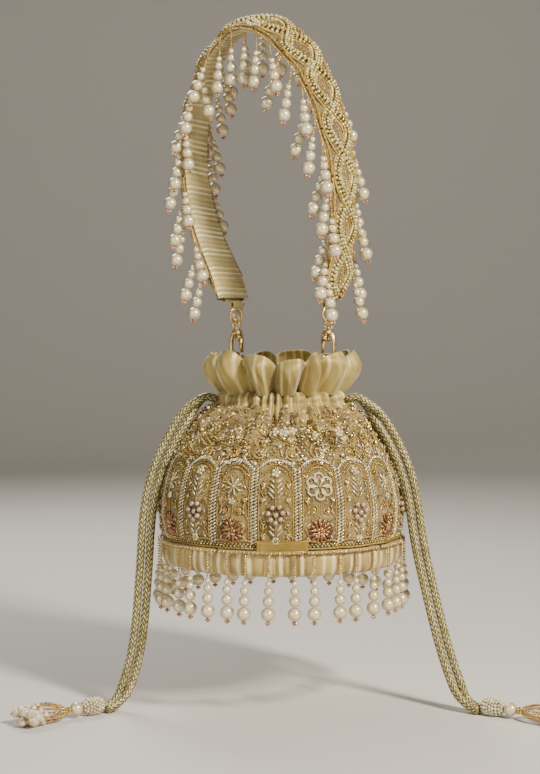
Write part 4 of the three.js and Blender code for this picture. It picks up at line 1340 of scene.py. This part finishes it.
# ---- clasps, rings and their tabs -----------------------------------------------------------------------
CLIP_S, RING_Z, HOOK_Z = 35.0, 149.0, 119.9
JUMP_R, JUMP_WIRE = 5.4, 0.8
MOUTH_R, MOUTH_WIRE, HOOK_WIRE = 5.0, 0.9, 1.1
MOUTH_Z = HOOK_Z - (MOUTH_R - MOUTH_WIRE - HOOK_WIRE - 0.1)
# Outlines in a clasp's own frame: X towards the bag's axis, Z up from where the mouth ring bears.
HOOK_PATH = [(0, 19.4), (-2.4, 17), (-3.9, 12.6), (-4, 8), (-3.3, 3.2), (-1.5, 0.5), (0.5, 0), (2.8, 1.5),
             (3.9, 4.6)]
HEAD = [(-2.7, 17), (-2.4, 19), (-1.2, 20.2), (1.4, 20.2), (3.2, 19.2), (3.9, 17.2), (2.8, 16.7), (0, 16.7)]
CHEEK = [(0.4, 12.8), (0.3, 17), (3.9, 17), (3.9, 14), (3.0, 12.8)]
GATE = [(1.9, 15.6), (2.8, 15.9), (3.6, 15.7), (4.3, 14.6), (5.5, 12.4), (5.3, 11.8), (4.7, 11.4),
        (4.75, 6.2), (4.3, 5.7), (3.5, 5.7), (3.2, 6.4), (3.0, 9.5), (2.2, 12.6), (1.8, 14.4)]
PIVOT = (2.8, 14.5)
PIN_HALF, PIN_R = 1.95, 0.55
EYE_Z, EYE_R, EYE_WIRE = 22.8, 2.7, 0.8


def at_clip(side, points):
    """Points in a clip's own frame, X towards the bag's axis, moved to their place above the base."""
    p = np.asarray(points, float)
    return np.stack([side * (CLIP_S - p[..., 0]), -side * p[..., 1], p[..., 2] + HOOK_Z], -1) @ TO_FRAME


def wire_ring(name, body, node, side, radius, wire, height):
    """A ring of round wire whose plane is square to the strap's."""
    piece = Piece(name, body, node, slot="gold_metal")
    a = np.linspace(0, 2 * np.pi, 57)[:-1, None]
    turn = np.linspace(0, 2 * np.pi, 15)[None, :-1]
    stretch = 1 + wire * np.cos(turn) / radius
    rows = at_clip(side, np.stack([wire * np.sin(turn) + 0 * a, stretch * radius * np.cos(a),
                                   stretch * radius * np.sin(a) + height - HOOK_Z], -1))
    piece.grid(np.concatenate([rows, rows[:1]]), "gold", wrap=True)
    piece.make()


def prism(piece, side, outline, half, y=0.0, bevel=0.0):
    """A plate of an (x, z) outline, to half its thickness on both sides of y, with eased edges if asked."""
    outline = np.asarray(outline, float)
    middle = outline.mean(0)
    inner = outline + unit(middle - outline) * bevel
    shrunk = inner * 0.02 + middle * 0.98
    walls = [(outline, bevel - half), (outline, half - bevel)]
    if bevel:
        walls = [(inner, -half)] + walls + [(inner, half)]
    steps = [(shrunk, -half)] + walls + [(shrunk, half)]
    rows = [np.stack([rim[:, 0], 0 * rim[:, 0] + y + out, rim[:, 1]], -1) for rim, out in steps]
    piece.grid([at_clip(side, row) for row in rows], "gold", wrap=True)


def make_clasp(side, label):
    """The hook with its eye, head and cheeks, and the sprung gate on its pin."""
    piece = Piece(f"lobster_{label}", "handle", f"clasp_{label}", slot="gold_metal")
    hook = curve_points([(x, 0, z) for x, z in HOOK_PATH], 48)
    piece.tube(at_clip(side, hook), np.linspace(1.35, 1.0, 48), "gold", around=12)
    a = np.linspace(0, 2 * np.pi, 33)
    eye = np.stack([EYE_R * np.cos(a), 0 * a, EYE_R * np.sin(a) + EYE_Z], -1)
    piece.tube(at_clip(side, eye), EYE_WIRE, "gold", around=12)
    prism(piece, side, HEAD, 1.6, bevel=0.25)
    for y in (-1.55, 1.55):
        prism(piece, side, CHEEK, 0.32, y)
    pin = [(PIVOT[0], y, PIVOT[1]) for y in (-PIN_HALF, 0, PIN_HALF)]
    piece.tube(at_clip(side, pin), PIN_R, "gold", around=14)
    piece.make()
    gate = Piece(f"latch_{label}", f"gate_{label}", f"clasp_gate_{label}", slot="gold_metal")
    prism(gate, side, GATE, 0.9, bevel=0.25)
    gate.make()


def make_ribbon(name, body, node, side, path, width, thick=0.8):
    """A woven ribbon that follows a path of (x, z) points, its width across the strap's plane."""
    piece = Piece(name, body, node, slot="ivory_silk")
    line = curve_points([(x, 0, z) for x, z in path], 60)
    wide = np.array([0, 1.0, 0])
    normal = np.cross(unit(np.gradient(line, axis=0)), wide)[:, None]
    across = np.linspace(-0.5, 0.5, 9) * width
    crimp = 0.12 * np.cos(np.linspace(-1, 1, 9) * 2.5 * np.pi)[None, :, None]
    front, back = (line[:, None] + wide * across[None, :, None] + normal * (s * thick / 2 + s * crimp)
                   for s in (1, -1))
    u = np.concatenate([across, across[::-1] + width, [across[0] + 2 * width]])
    rows = at_clip(side, np.concatenate([front, back[:, ::-1]], 1))
    piece.grid(rows, "ribbon", u[None], run_along(line)[:, None], wrap=True)
    piece.make()


def make_tabs(side, label):
    """The ribbon at the strap's end, folded round the jump ring, and the one that holds the mouth ring."""
    away = (38.0 if side < 0 else 37.5) - CLIP_S
    top, fold = 158 - 0.6 - HOOK_Z, RING_Z + JUMP_R - HOOK_Z
    path = [(-away + 0.6, top), (0.9, fold + 2.0), (1.7, fold + 0.2), (0.8, fold - 1.5), (-0.8, fold - 1.5),
            (-1.7, fold + 0.2), (-0.9, fold + 2.0), (-away - 0.6, top)]
    make_ribbon(f"tab_strap_{label}", "handle", f"strap_tab_{label}", side, path, 9)
    fold = MOUTH_Z - MOUTH_R - HOOK_Z
    foot = CLIP_S - (34 - 0.8 - 1.8)
    path = [(foot + 0.5, 96 - HOOK_Z), (foot + 0.6, 101.5 - HOOK_Z), (1.4, fold - 1.4), (1.6, fold + 0.2),
            (0.7, fold + 1.4), (-0.7, fold + 1.4), (-1.6, fold + 0.2), (-1.2, fold - 1.2),
            (foot - 0.6, 100.6 - HOOK_Z), (foot - 0.5, 96 - HOOK_Z)]
    make_ribbon(f"tab_mouth_{label}", "bag", f"mouth_tab_{label}", side, path, 8)


def make_clips():
    for label, side in SIDES.items():
        make_clasp(side, label)
        make_tabs(side, label)
        wire_ring(f"ring_strap_{label}", "handle", f"jump_ring_{label}", side, JUMP_R, JUMP_WIRE, RING_Z)
        wire_ring(f"ring_mouth_{label}", "bag", f"mouth_ring_{label}", side, MOUTH_R, MOUTH_WIRE, MOUTH_Z)


# ---- cords and tassels ------------------------------------------------------------------------------
CORD_DIAMETER = 4.8
CORD_SPREAD = 2.6        # half the spacing of the two cords of a pair
CORD_TWIST = 0.16        # share of the cord over which the pair turns at either end
ROUTES = {
    "left": [(-39, -7, 98.2), (-45.5, -8.6, 99.4), (-54, -10.8, 92.5), (-62, -13.4, 81),
             (-69.2, -15.8, 67.5), (-74.8, -17.6, 53), (-78.4, -19, 38), (-80.2, -20.4, 22),
             (-81.2, -21.6, 4), (-82.4, -23, -14), (-83.8, -24.6, -32), (-86.2, -27, -50),
             (-89.8, -30.2, -65), (-94.8, -34.6, -76), (-101, -39.6, -80.2), (-104, -42, -80.4)],
    "right": [(39, -7, 98.2), (45, -8.8, 99.2), (53, -11.2, 93), (61.2, -14, 82), (68.6, -16.6, 68.5),
              (74.2, -18.6, 54), (77.8, -20.2, 38), (80, -21.8, 22), (82.8, -23.4, 6), (86.4, -25.4, -10),
              (90.6, -28, -28), (95.2, -31, -46), (100.2, -34.4, -62), (106, -38.4, -75.4),
              (112.6, -42.8, -80.2), (115.8, -44.9, -80.4)],
}
SIDES = {"left": -1, "right": 1}


def cord_route(label, shift, count):
    """The points of one cord of a pair, in mm above the base."""
    side = SIDES[label]
    centre = curve_points(ROUTES[label], count)
    t = np.linspace(0, 1, count)[:, None]
    along = unit(np.gradient(centre, axis=0))
    seen = np.cross(along, [0, side, 0])
    laid = np.cross([0, 0, side], along)
    leaving = 1 - smoothstep(t, 0.02, CORD_TWIST)
    landed = smoothstep(t, 1 - CORD_TWIST, 0.96)
    across = seen * (1 - leaving - landed) + laid * landed + np.array([0, -1.0, 0]) * leaving
    return centre + unit(across - along * (across * along).sum(1, keepdims=True)) * shift


def braided_cord(name, node, label, shift):
    """A knitted round cord: columns of slanting stitches, neighbours leaning opposite ways."""
    line = cord_route(label, shift, 420)
    run = run_along(line)
    around = BRAID_COLUMNS * 5
    turn = 2 * np.pi * np.arange(around) / around
    column = BRAID_COLUMNS * turn / (2 * np.pi) + 1e-6
    inside = column % 1 - 0.5
    lean = np.where(np.floor(column) % 2 == 0, 1.0, -1.0)
    stitch = (run[:, None] / BRAID_STITCH + lean * inside * BRAID_LEAN + 0.5 * (lean > 0)) % 1 - 0.5
    height = np.sqrt(np.clip(1 - (2 * stitch) ** 2, 0, 1)) * (1 - 0.5 * np.abs(2 * inside) ** 3)
    ends = np.minimum(1, 0.2 + np.minimum(run, run[-1] - run) / 1.2)
    rows = tube_rows(line, CORD_DIAMETER / 2 * (0.80 + 0.25 * height) * ends[:, None], turn)
    piece = Piece(name, "bag", node, slot="cord_braid")
    u = np.linspace(0, CORD_GIRTH, around + 1)[None] + 1e-5
    piece.grid(rows, "cord", u, run[:, None], wrap=True, flip=True)
    return piece.make(), rows_to_frame(np.vstack([line[::11], line[-1:]])), run[-1] * MM


TASSEL_R = 4.8
TASSEL_STRANDS = 11
# The rings of the collar's beads: the place along the tassel and the radius of each.
COLLAR_RINGS = [(1.6, 3.2), (3.2, 4.1), (5.0, 4.25), (6.8, 4.25), (8.6, 4.25), (10.4, 4.1), (12.2, 3.3),
                (13.3, 2.0)]


def make_tassel(label):
    """A collar of white seed beads, a pearl and a bulging bundle of gold strands, lying on the ground."""
    before, end = (np.array(p, float) for p in ROUTES[label][-2:])
    level = unit((end - before) * (1, 1, 0))
    basis = np.stack([np.cross(UP, level), UP, level], -1)
    turns = turns_to(level)

    def place(points):
        return np.asarray(points, float) @ basis.T + (end[0], end[1], FLOOR + TASSEL_R)

    collar = Piece(f"collar_{label}", "bag", f"tassel_collar_{label}", slot="white_bead")
    for k, (along, r) in enumerate(COLLAR_RINGS):
        n = max(6, int(2 * math.pi * r / 1.9))
        a = 2 * np.pi * (np.arange(n) + 0.5 * (k % 2)) / n
        collar.beads(BEAD, place(around_axis(r, a, along)), 1.95, "white_bead", turns)
    core = np.linspace(1.2, 13.4, 14)
    thick = 3.3 * np.sqrt(np.clip(1 - ((core - 7.2) / 6.8) ** 4, 0.05, 1))
    collar.tube(place(around_axis(0, core, core)), thick, "tape", around=14)
    pearl = Piece(f"pearl_{label}", "bag", f"tassel_pearl_{label}", slot="pearl")
    pearl.beads(FINE_BEAD, place((0, 0, 18.2)), PEARLS[-1], "pearl", turns)
    strands = Piece(f"strands_{label}", "bag", f"tassel_strands_{label}", slot="gold_bead")
    strands.beads(BEAD, place((0, 0, 23.3)), (4.6, 4.6, 2.6), "gold_bead", turns)
    for k in range(TASSEL_STRANDS):
        draw_tassel_strand(strands, place, 2 * math.pi * (k + 0.3) / TASSEL_STRANDS, 2.4 * (k % 3) - 2.4)
    return [piece.make() for piece in (collar, pearl, strands)]


def draw_tassel_strand(piece, place, a, longer):
    """A strand of gold seeds that bulges to one side of the bundle and ends in a pearl and a white drop."""
    t = np.linspace(0, 1, 15)
    spread = np.sin(0.5 * np.pi * t ** 0.75) * (1 - 0.1 * t)
    rise = np.maximum(5.4 * math.sin(a) * spread + 1.2 * t, 0.95 - TASSEL_R)
    line = place(np.stack([8.6 * math.cos(a) * spread, rise, 24 + (18.5 + longer) * t], -1))
    aim = unit(np.gradient(line, axis=0))
    piece.beads(SMALL_BEAD, line, (1.6, 1.6, 1.45), "gold_bead", turns_to(aim))
    tail = unit(aim[-1] * (1, 1, 0) - UP * 0.3 * max(0.0, math.sin(a)))
    small, drop = line[-1] + tail * 2.6, line[-1] + tail * 7.6
    for spot, least in ((small, 1.8), (drop, 2.6)):
        spot[2] = max(spot[2], FLOOR + least)
    piece.beads(FINE_BEAD, small, 3.6, "pearl", turns_to(tail))
    piece.beads(DROP, drop, (5.2, 5.2, 7.2), "white_bead", turns_to(-tail))
    piece.beads(SMALL_BEAD, drop + tail * 4.2, 1.4, "rose_bead", turns_to(tail))


def make_cords():
    for label in SIDES:
        tassel = make_tassel(label)
        for place, shift in (("outer", CORD_SPREAD), ("inner", -CORD_SPREAD)):
            name = f"{label}_{place}"
            cord, path, length = braided_cord(f"cord_{name}", f"drawcord_{name}", label, shift)


make_camera()
make_stage()
make_cords()
make_pouch()
make_panels()
make_vines()
make_neck()
make_ruffle()
make_band()
make_plate()
make_base()
make_lining()
make_base_fringe()
make_strap_lining()
make_strap_core()
make_strap_braid()
make_strap_fringe(-1, "near")
make_strap_fringe(1, "far")
make_clips()
